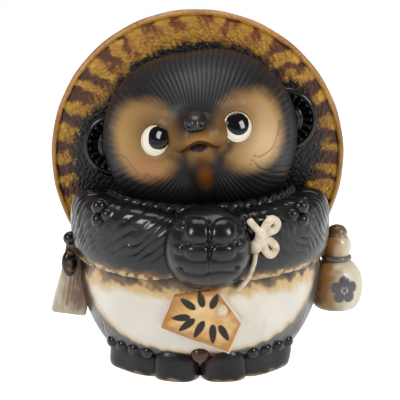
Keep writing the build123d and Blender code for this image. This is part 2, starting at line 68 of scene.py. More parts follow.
def step(start, end, value):
    """0 at the start and 1 at the end, with a smooth S between them."""
    share = np.clip((value - start) / (end - start), 0, 1)
    return share * share * (3 - 2 * share)


def hump(distance, width):
    """1 in the middle, fading out over about twice the width."""
    return np.exp(-((distance / width) ** 2))


def unevenness(places, size, seed):
    """Smooth lumps of about the given size, between about -1 and 1."""
    draw = np.random.default_rng(seed)
    total = np.zeros(len(places))
    for _ in range(UNEVEN_WAVES):
        way = draw.normal(size=3)
        way *= 2 * pi * draw.uniform(0.6, 1.6) / (size * np.linalg.norm(way))
        total += np.sin(places @ way + draw.uniform(0, 2 * pi))
    return total / 3


print("a step, a quarter of the way:", step(0, 1, 0.25))

# %% [markdown]
# ## Colours
# The glazes were sprayed and dabbed on one over another, and ran together a little. That could be a
# painted image, but an image has to be unwrapped on to every piece. Here painting is a field as well: a
# function of the places gives each vertex its colour, and the meshes are fine enough for sprayed edges.
# Colours are written as they look, in the hex form of a paint card, and turned into the linear light
# values that Blender mixes.


# %% Paint cards and sprays
def tint(card):
    """A paint card's colour as linear light."""
    coded = np.array([int(card[i:i + 2], 16) for i in (1, 3, 5)]) / 255
    return np.where(coded < 0.04045, coded / 12.92, ((coded + 0.055) / 1.055) ** 2.4)


def coat_of(card, places):
    """One colour all over."""
    return np.tile(tint(card), (len(places), 1))


def sprayed(colours, *sprays):
    """Sprays laid over a coat in turn: a paint card or other painted colours, and the share that it covers."""
    for colour, share in sprays:
        if isinstance(colour, str):
            colour = tint(colour)
        colours = colours + (colour - colours) * np.clip(share, 0, 1)[:, None]
    return colours


BLACK, BLACK_THIN = "#0E0D0E", "#232224"
FUR_BLACK, FUR_RIDGE_HIGHLIGHT = "#151314", "#211F21"
print("black glaze as linear light:", tint(BLACK).round(4))

# %% [markdown]
# ## Clay to carve
# Nearly every piece starts as a ball. It could start as a cube under a Subdivision Surface, but a ball
# has rings and poles, which suit round and long pieces. A coarse ball whose faces are each cut into a
# small grid is much quicker to make than a fine one, and laying its points back on the round costs one
# division.

# %% Balls
FINE_CUTS = 3


def sculpt(bm, shape):
    """Move every vertex to where a field puts it."""
    places = np.array([vert.co for vert in bm.verts])
    for vert, place in zip(bm.verts, shape(places).tolist()):
        vert.co = place


def ball(segments, rings, shape):
    """A dense ball round the Z axis, carved by a field."""
    bm = bmesh.new()
    shares = FINE_CUTS + 1
    bmesh.ops.create_uvsphere(bm, u_segments=segments // shares, v_segments=rings // shares, radius=1)
    bmesh.ops.subdivide_edges(bm, edges=bm.edges[:], cuts=FINE_CUTS, use_grid_fill=True)
    sculpt(bm, lambda places: shape(places / np.linalg.norm(places, axis=1)[:, None]))
    return bm


def latitude(ball_places):
    """0 at a ball's lower pole and 1 at its upper one, even from ring to ring."""
    return 1 - np.arccos(np.clip(ball_places[:, 2], -1, 1)) / pi


def out_of(places):
    """How far each place is from the Z axis."""
    return np.hypot(places[:, 0], places[:, 1])


def spoke_of(places):
    """The angle of each place round the Z axis."""
    return np.arctan2(places[:, 1], places[:, 0])


def blunt(shares, power):
    """How far out each place is in a squared-off round, 1 on its edge, from its shares of the half sizes."""
    return (np.abs(shares) ** power).sum(axis=1) ** (1 / power)


print("a ball's faces are each cut into", (FINE_CUTS + 1) ** 2)

# %% [markdown]
# A turned piece, such as the torso or the hat, could be spun from an outline. It is a ball here too,
# so that all pieces share one way of carving: its rings are laid along a profile, from the profile's
# first point at the lower pole to its last at the upper one, and the skin is closed without a seam.

# %% Turned pieces
PROFILE_POINTS = 1200


def smooth_line(points, count):
    """A smooth line through a few points, as an array of evenly shared places."""
    knots = np.array(points, float)
    knots = np.vstack([2 * knots[0] - knots[1], knots, 2 * knots[-1] - knots[-2]])
    spans = len(points) - 1
    along = np.linspace(0, spans, count)
    first = np.minimum(along.astype(int), spans - 1)
    t = (along - first)[:, None]
    a, b, c, d = (knots[first + shift] for shift in range(4))
    return b + 0.5 * t * (c - a + t * (2 * a - 5 * b + 4 * c - d + t * (3 * (b - c) + d - a)))


def at_share(line, share):
    """The places at shares of the way along a line of many points."""
    at = share * (len(line) - 1)
    return np.column_stack([np.interp(at, np.arange(len(line)), column) for column in line.T])


def turned(profile, segments, rings, carve):
    """A turned piece: a ball's rings laid along a profile of radii and heights, then carved by a field."""
    line = smooth_line(profile, PROFILE_POINTS)

    def shape(ball_places):
        radius, height = at_share(line, latitude(ball_places)).T
        radius, spoke = np.maximum(radius, 0), spoke_of(ball_places)
        return carve(np.column_stack([radius * np.cos(spoke), radius * np.sin(spoke), height]))

    return ball(segments, rings, shape)


# %% Firing a piece
def settle(bm, node, finish, paint):
    """Make a bmesh in millimetres the fired piece that stands for a node."""
    bmesh.ops.recalc_face_normals(bm, faces=bm.faces)
    mesh = bpy.data.meshes.new(node + "_fired")
    bm.to_mesh(mesh)
    bm.free()
    places = np.empty(3 * len(mesh.vertices))
    mesh.vertices.foreach_get("co", places)
    colours = paint(places.reshape(-1, 3))
    layer = mesh.color_attributes.new("glaze", "FLOAT_COLOR", "POINT")
    layer.data.foreach_set("color", np.column_stack([colours, np.ones(len(colours))]).ravel())
    mesh.transform(Matrix.Scale(MM, 4))
    mesh.shade_smooth()
    mesh.materials.append(finish)
    piece = bpy.data.objects.new(mesh.name, mesh)
    bpy.context.scene.collection.objects.link(piece)
    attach(piece, "root")
    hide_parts(node)
    print(piece.name, len(mesh.polygons), "faces")


# %% [markdown]
# ## The glaze
# A fired glaze is coloured glass on clay. Each finish could have its own noise nodes, but all of them are
# cloudy in the same way, so one node group does it: the painted colour breaks up a little in clouds,
# the gloss follows the clouds, and a slow ripple makes highlights waver. The shader's clear coat is
# the glass.


# %% Helpers for nodes
def setting(node, values):
    """Set a node's plain inputs by their names."""
    for name, value in values.items():
        node.inputs[name].default_value = value


def reckon(tree, operation, *values):
    """A Math node in a tree, fed by sockets or plain numbers."""
    node = tree.nodes.new("ShaderNodeMath")
    node.operation = operation
    for socket, value in zip(node.inputs, values):
        if isinstance(value, float):
            socket.default_value = value
        else:
            tree.links.new(value, socket)
    return node.outputs[0]


# %% Node group for the clouded glaze
GROUP_INPUTS = {"Painted": "Color", "Cloud Scale": "Float", "Cloud Depth": "Float",
                "Dull Roughness": "Float", "Bright Roughness": "Float"}
GROUP_OUTPUTS = {"Color": "Color", "Roughness": "Float", "Height": "Float"}


def make_clouded_glaze():
    group = bpy.data.node_groups.new("clouded_glaze", "ShaderNodeTree")
    for way, sockets in (("INPUT", GROUP_INPUTS), ("OUTPUT", GROUP_OUTPUTS)):
        for name, kind in sockets.items():
            group.interface.new_socket(name, in_out=way, socket_type="NodeSocket" + kind)
    new, link = group.nodes.new, group.links.new
    given, made = new("NodeGroupInput").outputs, new("NodeGroupOutput").inputs
    where = new("ShaderNodeTexCoord").outputs["Object"]
    clouds, ripple = new("ShaderNodeTexNoise"), new("ShaderNodeTexNoise")
    setting(clouds, {"Detail": 6, "Roughness": 0.62})
    setting(ripple, {"Scale": 160, "Detail": 3})
    link(where, clouds.inputs["Vector"])
    link(where, ripple.inputs["Vector"])
    link(given["Cloud Scale"], clouds.inputs["Scale"])
    cloud = clouds.outputs["Fac"]
    centred = reckon(group, "SUBTRACT", cloud, 0.5)
    shade = new("ShaderNodeVectorMath")
    shade.operation = "SCALE"
    link(given["Painted"], shade.inputs[0])
    link(reckon(group, "MULTIPLY_ADD", centred, given["Cloud Depth"], 1.0), shade.inputs["Scale"])
    gloss = new("ShaderNodeMapRange")
    setting(gloss, {"From Min": 0.35, "From Max": 0.65})
    link(cloud, gloss.inputs["Value"])
    link(given["Bright Roughness"], gloss.inputs["To Min"])
    link(given["Dull Roughness"], gloss.inputs["To Max"])
    link(shade.outputs["Vector"], made["Color"])
    link(gloss.outputs["Result"], made["Roughness"])
    link(ripple.outputs["Fac"], made["Height"])
    return group


CLOUDED_GLAZE = make_clouded_glaze()
print("node group with", len(CLOUDED_GLAZE.nodes), "nodes")


# %% Finishes
def glaze(name, bright, dull, coat, mirror=0.5, cloud_scale=90, cloud_depth=0.5, ripple=0.04):
    """A finish that reads the painted colour, with its own gloss and cloudiness."""
    finish = bpy.data.materials.new(name)
    finish.use_nodes = True
    nodes, link = finish.node_tree.nodes, finish.node_tree.links.new
    shader = nodes["Principled BSDF"]
    painted = nodes.new("ShaderNodeVertexColor")
    painted.layer_name = "glaze"
    clouded = nodes.new("ShaderNodeGroup")
    clouded.node_tree = CLOUDED_GLAZE
    setting(clouded, {"Cloud Scale": cloud_scale, "Cloud Depth": cloud_depth,
                      "Bright Roughness": bright, "Dull Roughness": dull})
    bump = nodes.new("ShaderNodeBump")
    setting(bump, {"Strength": ripple, "Distance": MM})
    link(painted.outputs["Color"], clouded.inputs["Painted"])
    link(clouded.outputs["Color"], shader.inputs["Base Color"])
    link(clouded.outputs["Roughness"], shader.inputs["Roughness"])
    link(clouded.outputs["Height"], bump.inputs["Height"])
    link(bump.outputs["Normal"], shader.inputs["Normal"])
    setting(shader, {"Coat Weight": coat, "Coat Roughness": 0.06, "IOR": 1.5, "Specular IOR Level": mirror})
    return finish


WET_GLAZE = glaze("wet_glaze", bright=0.15, dull=0.3, coat=0.25, mirror=0.2, ripple=0.08)
FUR_GLAZE = glaze("fur_glaze", bright=0.26, dull=0.42, coat=0.12, mirror=0.18, cloud_depth=0.4)
FACE_GLAZE = glaze("face_glaze", bright=0.38, dull=0.55, coat=0.05, mirror=0.14, cloud_scale=70, cloud_depth=0.22)
BELLY_GLAZE = glaze("belly_glaze", bright=0.26, dull=0.4, coat=0.2, cloud_scale=40, cloud_depth=0.12)
STRAW_GLAZE = glaze("straw_glaze", bright=0.3, dull=0.48, coat=0.15, mirror=0.3,
                    cloud_scale=260, cloud_depth=0.8, ripple=0.12)
EYE_GLAZE = glaze("eye_glaze", bright=0.05, dull=0.09, coat=0.1, mirror=0.3, cloud_depth=0.05, ripple=0.0)
BISQUE = glaze("bisque", bright=0.6, dull=0.8, coat=0.0, mirror=0.3,
               cloud_scale=200, cloud_depth=0.25, ripple=0.25)
print("finishes:", len(bpy.data.materials))

# %% [markdown]
# ## The head
# The head is a round pot, flatter on top, rolled a little to the figure's right. It could be carved where
# it stands, but in its own frame, with x to the figure's left, z up and the face along -y, a place on
# the face is just (across, up). Both sprayed eye patches, the combed fur and the carving use those two
# numbers, and so do the muzzle and the jaw, so that colour and form run on from one piece to the next
# without a seam.

# %% The head's own frame
HEAD_MIDDLE, HEAD_ROLL = (0, -2, 155), radians(-8.5)
HEAD_PLACE = Matrix.Translation(HEAD_MIDDLE) @ Matrix.Rotation(HEAD_ROLL, 4, "Y")
HEAD_WIDE, HIGH_ROUND, LOW_ROUND = 67.6, 56.6, 67.4


def moved(place):
    """A field that only puts a piece in its place."""
    return lambda places: places @ np.array(place.to_3x3()).T + np.array(place.translation)


def into(place, places):
    """Places in the ornament's frame as places in a piece's own."""
    inverse = np.array(place.inverted())
    return places @ inverse[:3, :3].T + inverse[:3, 3]


def head_reach(way):
    """How far the plain pot reaches from its middle in each direction."""
    level = out_of(way)
    bend = np.where(way[:, 2] > 0, HIGH_ROUND, LOW_ROUND)
    inner = HEAD_WIDE - bend
    return inner * level + np.sqrt((inner * level) ** 2 + bend**2 - inner**2)


from_head = moved(HEAD_PLACE)
print("the head is", 2 * HEAD_WIDE, "mm wide, round", HEAD_MIDDLE)

# %% Relief of the face
EYES = {"right": (-27.9, 8.0), "left": (25.2, 9.0)}
LID_PROUD, LID_RADIUS, LID_WIDTH = 0.9, 11.2, 2.0
# How far each lump stands out, and its oval: middle across and up, half width and half height.
FACE_LUMPS = [(2.0, (0, 33, 20, 20))]  # brow
FACE_LUMPS += [(-2.6, (*eye, 15, 15)) for eye in EYES.values()]  # eye sockets
FACE_LUMPS += [(3.6, (sign * 35, -12, 17, 17)) for sign in SIDES.values()]  # cheeks
FACE_LUMPS += [(-2.6, (sign * 17, -14, 8, 8)) for sign in SIDES.values()]  # hollows beside the mouth


def oval(across, up, spot):
    """How far each place is from an oval's middle, 1 on the oval itself."""
    middle_across, middle_up, half_wide, half_tall = spot
    return np.hypot((across - middle_across) / half_wide, (up - middle_up) / half_tall)


def dab(across, up, spot):
    """A soft dab, 1 in the middle of an oval and fading out past its edge."""
    return hump(oval(across, up, spot), 1)


def face_relief(across, up):
    """How far the carved face stands forward of the plain pot."""
    forward = sum(proud * dab(across, up, spot) for proud, spot in FACE_LUMPS)
    for eye_across, eye_up in EYES.values():
        away = np.hypot(across - eye_across, up - eye_up)
        forward += LID_PROUD * hump(away - LID_RADIUS, LID_WIDTH)
    return forward


def face_front(across, up):
    """The y of the carved face in the head's frame."""
    bend = np.where(up > 0, HIGH_ROUND, LOW_ROUND)
    level = HEAD_WIDE - bend + np.sqrt(np.maximum(bend**2 - up**2, 0))
    return -np.sqrt(np.maximum(level**2 - across**2, 0)) - face_relief(across, up)


print("lumps and hollows of the face:", len(FACE_LUMPS))

# %% [markdown]
# The patches round the eyes are sprayed tan with brown shadow round each eye and a warmer cheek, and
# they fade into the fur in a fringe of fine strokes. Spraying could be a texture of soft spots in the
# shader, but the carving has to know where the patches are, so they are ovals in the field. On each
# cheek a thin curved line and a few dimples are scratched, which are painted and carved alike.

# %% Scratches and folds
SCRATCHES = [
    [(-58, -1), (-53, -0.6), (-49.6, -1.8), (-46, -7), (-42.5, -12)],
    [(53.5, 6), (51, -1), (46.5, -8.5), (41, -11.4), (35.9, -12.4)],
    [(33, -15), (37, -21), (43.9, -24.5), (50, -23)],
]
DIMPLES = [(-38, -15), (-34.5, -15.8), (-36.4, -13.6), (31.7, -13.5), (34, -11), (30.5, -16)]
FOLDS = [
    ([(20, 0.5), (17.5, -3.6), (13, -7), (8.8, -13.6)], 0.9),
    ([(-19, -3), (-15.5, -5), (-11.6, -9), (-9, -13)], 0.6),
]
SCRATCH_WIDTH, DIMPLE_WIDTH, FOLD_WIDTH = 0.55, 0.8, 2.8


def drawn(across, up, dots, width):
    """1 on a line of dots, fading out over a width."""
    depth = np.zeros(len(across))
    for dot_across, dot_up in dots:
        depth = np.maximum(depth, hump(np.hypot(across - dot_across, up - dot_up), width))
    return depth


def scratched(across, up):
    """1 in the scratched lines and dimples of the cheeks."""
    lines = [drawn(across, up, smooth_line(points, 36), SCRATCH_WIDTH) for points in SCRATCHES]
    return np.maximum.reduce(lines + [drawn(across, up, DIMPLES, DIMPLE_WIDTH)])


def folded(across, up):
    """1 in the folds that run down from the corners of the mouth, where their shadow is painted."""
    return np.maximum.reduce([share * drawn(across, up, smooth_line(points, 30), FOLD_WIDTH)
                              for points, share in FOLDS])


print("scratches:", len(SCRATCHES), "dimples:", len(DIMPLES), "folds:", len(FOLDS))

# %% Fur and patches
FUR_STROKES, FUR_MIDDLE = 86, 4
PATCHES = {"right": (-34, 8, 24, 27.5), "left": (33, 4.5, 24, 27.5)}
PATCH_SQUARE = 2.4


def combed(phase):
    """Carved strokes side by side: round ridges with narrow valleys, 0 in a valley and 1 on a ridge."""
    return np.abs(np.sin(phase / 2)) ** 0.7


def fur_strokes(local):
    """The combed strokes that radiate from the middle of the face, 0 in a groove and 1 on a ridge."""
    spoke = np.arctan2(local[:, 2] - FUR_MIDDLE, local[:, 0])
    return combed(FUR_STROKES * spoke + 1.3 * unevenness(local, 60, 3))


def patch_cover(local):
    """How much of the tan patches covers each place."""
    cover = np.zeros(len(local))
    fringe = 0.03 * (fur_strokes(local) - 0.5) + 0.02 * unevenness(local, 9, 8)
    for across, up, half_wide, half_tall in PATCHES.values():
        shares = (local[:, [0, 2]] - (across, up)) / (half_wide, half_tall)
        cover = np.maximum(cover, step(1.12, 0.66, blunt(shares, PATCH_SQUARE) + fringe))
    return cover


print("strokes round the face:", FUR_STROKES)

# %% Painting the face
TAN, BRIDGE_BROWN, SCRATCH_BROWN, FOREHEAD_HIGHLIGHT = "#A9834F", "#6B4820", "#6E5233", "#454449"
MUZZLE_BROWN, LIP_TAN, FOLD_SHADOW, DROP_AMBER = "#6E4A20", "#A27A44", "#1C120A", "#6A3A12"
# A paint card, how well it covers, and its oval.
PATCH_DABS = [
    ("#D8B488", 1.0, (42, -5, 15, 18.75)),  # pale left cheek
    ("#B9925A", 0.6, (-48, 8, 12, 12)),  # right temple
    ("#B9805A", 0.85, (-36, -15, 14, 14 / 1.3)),  # warm right cheek
    ("#4A3014", 0.95, (-24.9, 12, 17, 17)),  # shadow of the right eye
    ("#4A3014", 0.95, (22.2, 13, 17, 17)),  # shadow of the left eye
]
FOREHEAD_SPOT, MUZZLE_SPOT = (4, 39, 22.1, 13), (0, 5, 14.45, 7.65)
LIP_SPOT, DROP_SPOT = (2, 6, 11.7, 3.6), (0.5, -18.5, 4.6, 8)


def paint_face(places):
    local = into(HEAD_PLACE, places)
    across, up = local[:, 0], local[:, 2]
    front = step(5, -25, local[:, 1])
    ridge = fur_strokes(local)
    patch = sprayed(
        coat_of(TAN, places),
        *((card, cover * dab(across, up, spot)) for card, cover, spot in PATCH_DABS),
        (BRIDGE_BROWN, 0.9 * hump(across, 13) * step(32, 18, up)),
        (SCRATCH_BROWN, 0.75 * scratched(across, up)),
    )
    return sprayed(
        coat_of(FUR_BLACK, places),
        # The grey on the ridges of the fur is a painted highlight.
        (FUR_RIDGE_HIGHLIGHT, 0.5 * ridge),
        # The grey on the forehead's ridges is a painted highlight, stronger than on the rest of the fur.
        (FOREHEAD_HIGHLIGHT, 0.8 * dab(across, up, FOREHEAD_SPOT) * ridge**2),
        (patch, patch_cover(local) * front),
        (MUZZLE_BROWN, 1.15 * dab(across, up, MUZZLE_SPOT) * front),
        (LIP_TAN, 0.75 * dab(across, up, LIP_SPOT) * front),
        (FUR_BLACK, step(-5, -12, up) * hump(across, 13) * front),
        # The dark in the folds from the corners of the mouth is painted shadow.
        (FOLD_SHADOW, 0.85 * folded(across, up) * front),
        (DROP_AMBER, step(1.7, 0.2, oval(across, up, DROP_SPOT)) * front),
        (BLACK, 0.6 * step(-22, -42, up)),
    )


print("dabs on the patches:", len(PATCH_DABS))

# %% Carving the head
SHOWN_RINGS, SHOWN_SPREAD = 0.86, radians(104)
FUR_DEPTH, SCRATCH_DEPTH = 0.55, 0.45
HEAD_FOOT, HEAD_BACK = 45.5, 30


def carve_head(ball_places):
    share, spoke = 1 - latitude(ball_places), spoke_of(ball_places)
    hidden = (share - SHOWN_RINGS) / (1 - SHOWN_RINGS)
    spread = np.where(hidden < 0, share / SHOWN_RINGS * SHOWN_SPREAD,
                      SHOWN_SPREAD + hidden * (pi - SHOWN_SPREAD))
    way = np.column_stack([np.sin(spread) * np.cos(spoke), -np.cos(spread), np.sin(spread) * np.sin(spoke)])
    local = way * head_reach(way)[:, None]
    front = step(0, -30, local[:, 1])
    smoothed = step(36, 18, np.hypot(local[:, 0], local[:, 2] - 6))
    fur = (1 - patch_cover(local) * front) * (1 - smoothed * front)
    fur *= 0.75 + 0.25 * unevenness(local, 20, 5)
    local -= way * (FUR_DEPTH * fur * (1 - fur_strokes(local)))[:, None]
    across, up = local[:, 0], local[:, 2]
    local[:, 1] -= (face_relief(across, up) - SCRATCH_DEPTH * scratched(across, up)) * front
    local[:, 1] = np.minimum(local[:, 1], HEAD_BACK)
    local[:, 2] = np.maximum(local[:, 2], -HEAD_FOOT)
    return from_head(local)


settle(ball(660, 140, carve_head), "head_shell", FACE_GLAZE, paint_face)

# %% [markdown]
# ## Muzzle, jaw and nose
# These were pressed on and smoothed over with a wet finger, so their edges melt into the face. They could
# be joined to the head with a Boolean, but they are pieces of their own. So each is a ball whose front
# half follows the face plus its own relief, and whose back half is buried. The upper lip ends at the
# mouth's arch, which is drawn as a line over the width of the face.

# %% Muzzle with the upper lip
MUZZLE_MIDDLE, MUZZLE_HALF, LIP_CREASE = (0, 9), (21, 14), "#2A1A0E"
MOUTH_LINE = smooth_line([(-24, 1.0), (-18, -2.4), (-12, -0.6), (-5, 3.8), (0, 5.0), (5, 3.6),
                          (11.5, -1.4), (16, -1.0), (19, 1.2), (24, 5)], 60)
BURIED, SEAM = 6, 0.6


def pressed_on(middle, half, rise):
    """A field that lays a ball on the face: its front half stands out by a rise, its back half is buried."""

    def carve(ball_places):
        across, up = (middle[axis] + half[axis] * ball_places[:, axis] for axis in (0, 1))
        skin = face_front(across, up)
        front = skin - rise(across, up, out_of(ball_places))
        back = skin + SEAM - BURIED * ball_places[:, 2]
        return from_head(np.column_stack([across, np.where(ball_places[:, 2] >= 0, front, back), up]))

    return carve


def above_mouth(across, up):
    return up - np.interp(across, *MOUTH_LINE.T)


def lip_rise(across, up, rim):
    swell = 8.6 * np.maximum(1 - rim**2, 0) ** 0.85
    swell += 1.5 * hump(np.hypot(np.abs(across) - 9, up - 4.5), 6) - 0.7 * hump(across, 1.3) * step(12, 8, up)
    edge = step(-0.6, 1.6, above_mouth(across, up))
    return swell * (0.3 + 0.7 * edge) - SEAM


def paint_muzzle(places):
    across, _, up = into(HEAD_PLACE, places).T
    crease = hump(above_mouth(across, up) + 0.3, 0.9) * step(21, 17, np.abs(across))
    return sprayed(paint_face(places), (LIP_CREASE, 0.85 * crease))


muzzle = ball(160, 96, pressed_on(MUZZLE_MIDDLE, MUZZLE_HALF, lip_rise))
settle(muzzle, "muzzle", FACE_GLAZE, paint_muzzle)

# %% Jaw
JAW_MIDDLE, JAW_HALF = (-0.3, -10), (14, 17)
LOWER_LIP, MOUTH_DARK, MOUTH_SPOT = "#7C592C", "#262326", (-0.7, 1.2, 6.0, 2.6)


def jaw_rise(across, up, rim):
    swell = 3.4 * np.maximum(1 - rim**2, 0) ** 1.3
    swell += 4.0 * np.maximum(1 - (across / 10.5) ** 2, 0) ** 1.2 * hump(up + 2.0, 5.5)
    return swell - SEAM


def paint_jaw(places):
    across, _, up = into(HEAD_PLACE, places).T
    return sprayed(
        paint_face(places),
        (LOWER_LIP, 0.95 * step(-12, -3, up + 0.03 * across**2) * step(11, 5, np.abs(across))),
        (MOUTH_DARK, 0.95 * step(1.15, 0.75, oval(across, up, MOUTH_SPOT))),
    )


settle(ball(120, 96, pressed_on(JAW_MIDDLE, JAW_HALF, jaw_rise)), "chin", FACE_GLAZE, paint_jaw)

# %% Nose
NOSE_MIDDLE, NOSE_HALF = (-0.8, 16.6), (8.6, 7.6)
NOSE_BLACK, NOSE_HIGHLIGHT, NOSE_EDGE = "#1B1413", "#3A3435", "#4A3016"


def nose_rise(across, up, rim):
    x, z = across - NOSE_MIDDLE[0], up - NOSE_MIDDLE[1]
    swell = 11.0 * np.maximum(1 - rim**2, 0) ** 0.55 + 0.9 * dab(x, z, (0, 4, 5, 5))
    for side in SIDES.values():
        swell += 1.0 * dab(x, z, (side * 3.7, -2.6, 2.6, 2.6))
        swell -= 1.5 * dab(x, z, (side * 4.0, -0.2, 1.6, 1.6))
    return swell - 0.9 * hump(x, 0.8) * step(1, -3, z)


def paint_nose(places):
    across, _, up = into(HEAD_PLACE, places).T
    rim = oval(across, up, (*NOSE_MIDDLE, *NOSE_HALF))
    # The grey on the top of the nose is a painted highlight.
    painted_highlight = dab(across - NOSE_MIDDLE[0], up - NOSE_MIDDLE[1], (0, 3.5, 4, 4))
    return sprayed(coat_of(NOSE_BLACK, places), (NOSE_HIGHLIGHT, 0.7 * painted_highlight), (NOSE_EDGE, 0.8 * step(0.86, 1.02, rim)))


settle(ball(96, 64, pressed_on(NOSE_MIDDLE, NOSE_HALF, nose_rise)), "nose", WET_GLAZE, paint_nose)

# %% [markdown]
# ## Eyes
# Each eye is a low white dome with a thin rolled rim, and the pupil is a bright black bead laid on it, up
# against its upper edge. They could be painted on the head, but the real ones stand out and catch the
# light, so both are turned as on a lathe and set square on the skin.

# %% Places on the face
NUDGE = 0.5


def face_place(across, up, sunk):
    """A place on the skin of the face whose z axis points out of it."""
    skin = face_front(np.array([across, across + NUDGE, across]), np.array([up, up, up + NUDGE]))
    along = Vector((NUDGE, skin[1] - skin[0], 0))
    rising = Vector((0, skin[2] - skin[0], NUDGE))
    outward = HEAD_PLACE.to_3x3() @ along.cross(rising).normalized()
    here = Matrix.Translation(HEAD_PLACE @ Vector((across, skin[0], up)))
    return here @ outward.to_track_quat("Z", "Y").to_matrix().to_4x4() @ Matrix.Translation((0, 0, -sunk))


print("the left eye sits at", [round(value, 1) for value in face_place(*EYES["left"], 0).translation])

# %% Eyes and pupils
EYE_PROFILE = [(0, -4), (6, -4), (9.9, -3.6), (10.1, 0.4), (9.7, 1.5), (9.1, 1.8), (8.5, 1.7),
               (6.4, 3.0), (3.4, 4.0), (0, 4.3)]
EYE_SUNK, EYE_WHITE, EYE_IVORY, EYE_RIM = 0.6, "#EDE7DA", "#D8C9A4", "#6B4A22"
PUPILS = {"right": (-25.0, 10.2), "left": (25.2, 11.0)}
PUPIL_PROFILE = [(0, -3), (5, -3), (7.5, -2.6), (7.6, -0.2), (7.1, 0.9), (5.4, 1.7), (2.8, 2.2), (0, 2.4)]
PUPIL_UP, PUPIL_TILT, PUPIL_BLACK = 2.4, radians(-8), "#040303"


def paint_eye(place):
    def paint(places):
        out = out_of(into(place, places))
        return sprayed(coat_of(EYE_WHITE, places), (EYE_IVORY, 0.7 * step(7, 9.2, out)),
                       (EYE_RIM, 0.8 * step(9.5, 10, out)))

    return paint


for side in SIDES:
    eye_place = face_place(*EYES[side], EYE_SUNK)
    eye = turned(EYE_PROFILE, 96, 80, moved(eye_place))
    settle(eye, side + "_eye", EYE_GLAZE, paint_eye(eye_place))
    pupil_place = eye_place @ Matrix.Translation((*np.subtract(PUPILS[side], EYES[side]), PUPIL_UP))
    pupil = turned(PUPIL_PROFILE, 96, 64, moved(pupil_place @ Matrix.Rotation(PUPIL_TILT, 4, "X")))
    settle(pupil, side + "_pupil", EYE_GLAZE, lambda places: coat_of(PUPIL_BLACK, places))

# %% [markdown]
# ## Ears
# The ears are round bowls with a rolled rim. Inside, a ring of short teeth stands for the fur of the
# ear's edge, and a lock of fur covers the middle. The teeth could be placed one by one, but a turned
# bowl with the teeth carved as a wave round its wall stays one skin, as pressed clay does.

# %% Ears and their locks of fur
EAR_OUT, EAR_BACK, EAR_TEETH, TOOTH_DEPTH = 60, 6, 21, 3.4
EAR_PROFILE = [(0, -4), (12, -4), (18, -4.6), (21.6, -3), (22.9, 0), (22.2, 3.4), (20.2, 4.8), (18.4, 3.8),
               (16.6, 1.6), (13.5, 0.2), (10, -0.8), (5, -1.2), (0, -1.2)]
LOCK_OUT, LOCK_BACK, LOCK_HALF, LOCK_STROKES, LOCK_CURL = 69, 3, np.array([3.8, 3.8, 9]), 9, 2.0


def carve_ear(side):
    place = HEAD_PLACE @ Matrix.Translation((side * EAR_OUT, EAR_BACK, 0)) @ Matrix.Rotation(radians(90), 4, "X")

    def carve(places):
        out, shape = out_of(places), places.copy()
        inside = step(8, 11, out) * step(18.6, 17, out) * (places[:, 2] > -2.5)
        shape[:, 2] += TOOTH_DEPTH * inside * (combed(EAR_TEETH * spoke_of(places)) - 0.5)
        return moved(place)(shape)

    return carve


def carve_lock(side):
    place = HEAD_PLACE @ Matrix.Translation((side * LOCK_OUT, LOCK_BACK, 0))

    def carve(places):
        ridge = combed(LOCK_STROKES * spoke_of(places))
        shape = places * LOCK_HALF * (0.86 + 0.14 * ridge)[:, None]
        shape[:, 0] -= side * LOCK_CURL * places[:, 2] ** 2
        return moved(place)(shape)

    return carve


def paint_ear(places):
    return sprayed(coat_of(BLACK, places), (BLACK_THIN, 0.5 * step(0.2, 0.9, unevenness(places, 12, 21))))


for side, sign in SIDES.items():
    settle(turned(EAR_PROFILE, 260, 120, carve_ear(sign)), side + "_ear", WET_GLAZE, paint_ear)
    settle(ball(72, 32, carve_lock(sign)), side + "_ear_tuft", WET_GLAZE, paint_ear)

# %% [markdown]
# ## The straw hat
# The hat hangs behind the head, so the photograph shows its underside: a plaited dish inside a smooth
# lip. The plait could be woven from strips, but on the real piece it is pressed into one slab of clay.
# So it is carved as blocks of short ridges that lie along and across the rays in turn.

# %% Hat brim
HAT_PLACE = Matrix.Translation((-2, 12, 135)) @ Matrix.Rotation(radians(-90), 4, "X")
BRIM_LINE = [(0, 8.0), (40, 5.8), (56, 4.9), (62, 4.5), (68, 4.2), (74, 3.8), (79, 3.55), (84, 3.3),
             (88.5, 3.05), (93, 2.8), (97.5, 2.5), (99.8, 2.0), (101.2, 0.9), (102.8, 0.6), (104.0, 1.7),
             (104.5, 3.4), (104.5, 6), (103.6, 7.7), (101.4, 8.3), (96, 8.8), (70, 10.6), (0, 15.6)]
PLAIT_RING, PLAIT_RAYS, PLAIT_RIDGES, BRIM_DEPTH = 5.6, 84, 2, 0.5


def hat_polar(local):
    """How far out on the hat each place is, and on which ray, as seen from the front."""
    return out_of(local), np.arctan2(-local[:, 1], local[:, 0])


def plait(out, spoke):
    """The plaited straw, 0 in the gaps and 1 on the ridges."""
    ring, ray = out / PLAIT_RING, spoke / (2 * pi) * PLAIT_RAYS
    ray = ray + 0.16 * np.sin(2 * pi * ring) + 0.2 * np.sin(5 * spoke)
    ring = ring + 0.16 * np.sin(2 * pi * ray) + 0.2 * np.sin(7 * spoke)
    lying = (np.floor(ring) + np.floor(ray)) % 2
    ridge = combed(2 * pi * PLAIT_RIDGES * np.where(lying < 1, ring, ray))
    block_edge = np.minimum(np.abs((ring + 0.5) % 1 - 0.5), np.abs((ray + 0.5) % 1 - 0.5))
    return ridge * step(0.0, 0.13, block_edge)


def carve_brim(places):
    out, spoke = hat_polar(places)
    shape = places.copy()
    woven = step(100, 97.5, out) * (places[:, 2] < 9)
    shape[:, 2] -= BRIM_DEPTH * woven * (plait(out, spoke) - 0.5)
    shape[:, :2] *= (0.9993 + 0.003 * np.sin(3 * spoke + 1) + 0.001 * np.sin(23 * spoke))[:, None]
    return moved(HAT_PLACE)(shape)


brim = turned(BRIM_LINE, 560, 160, carve_brim)
print("hat brim", len(brim.faces), "faces, not fired yet")
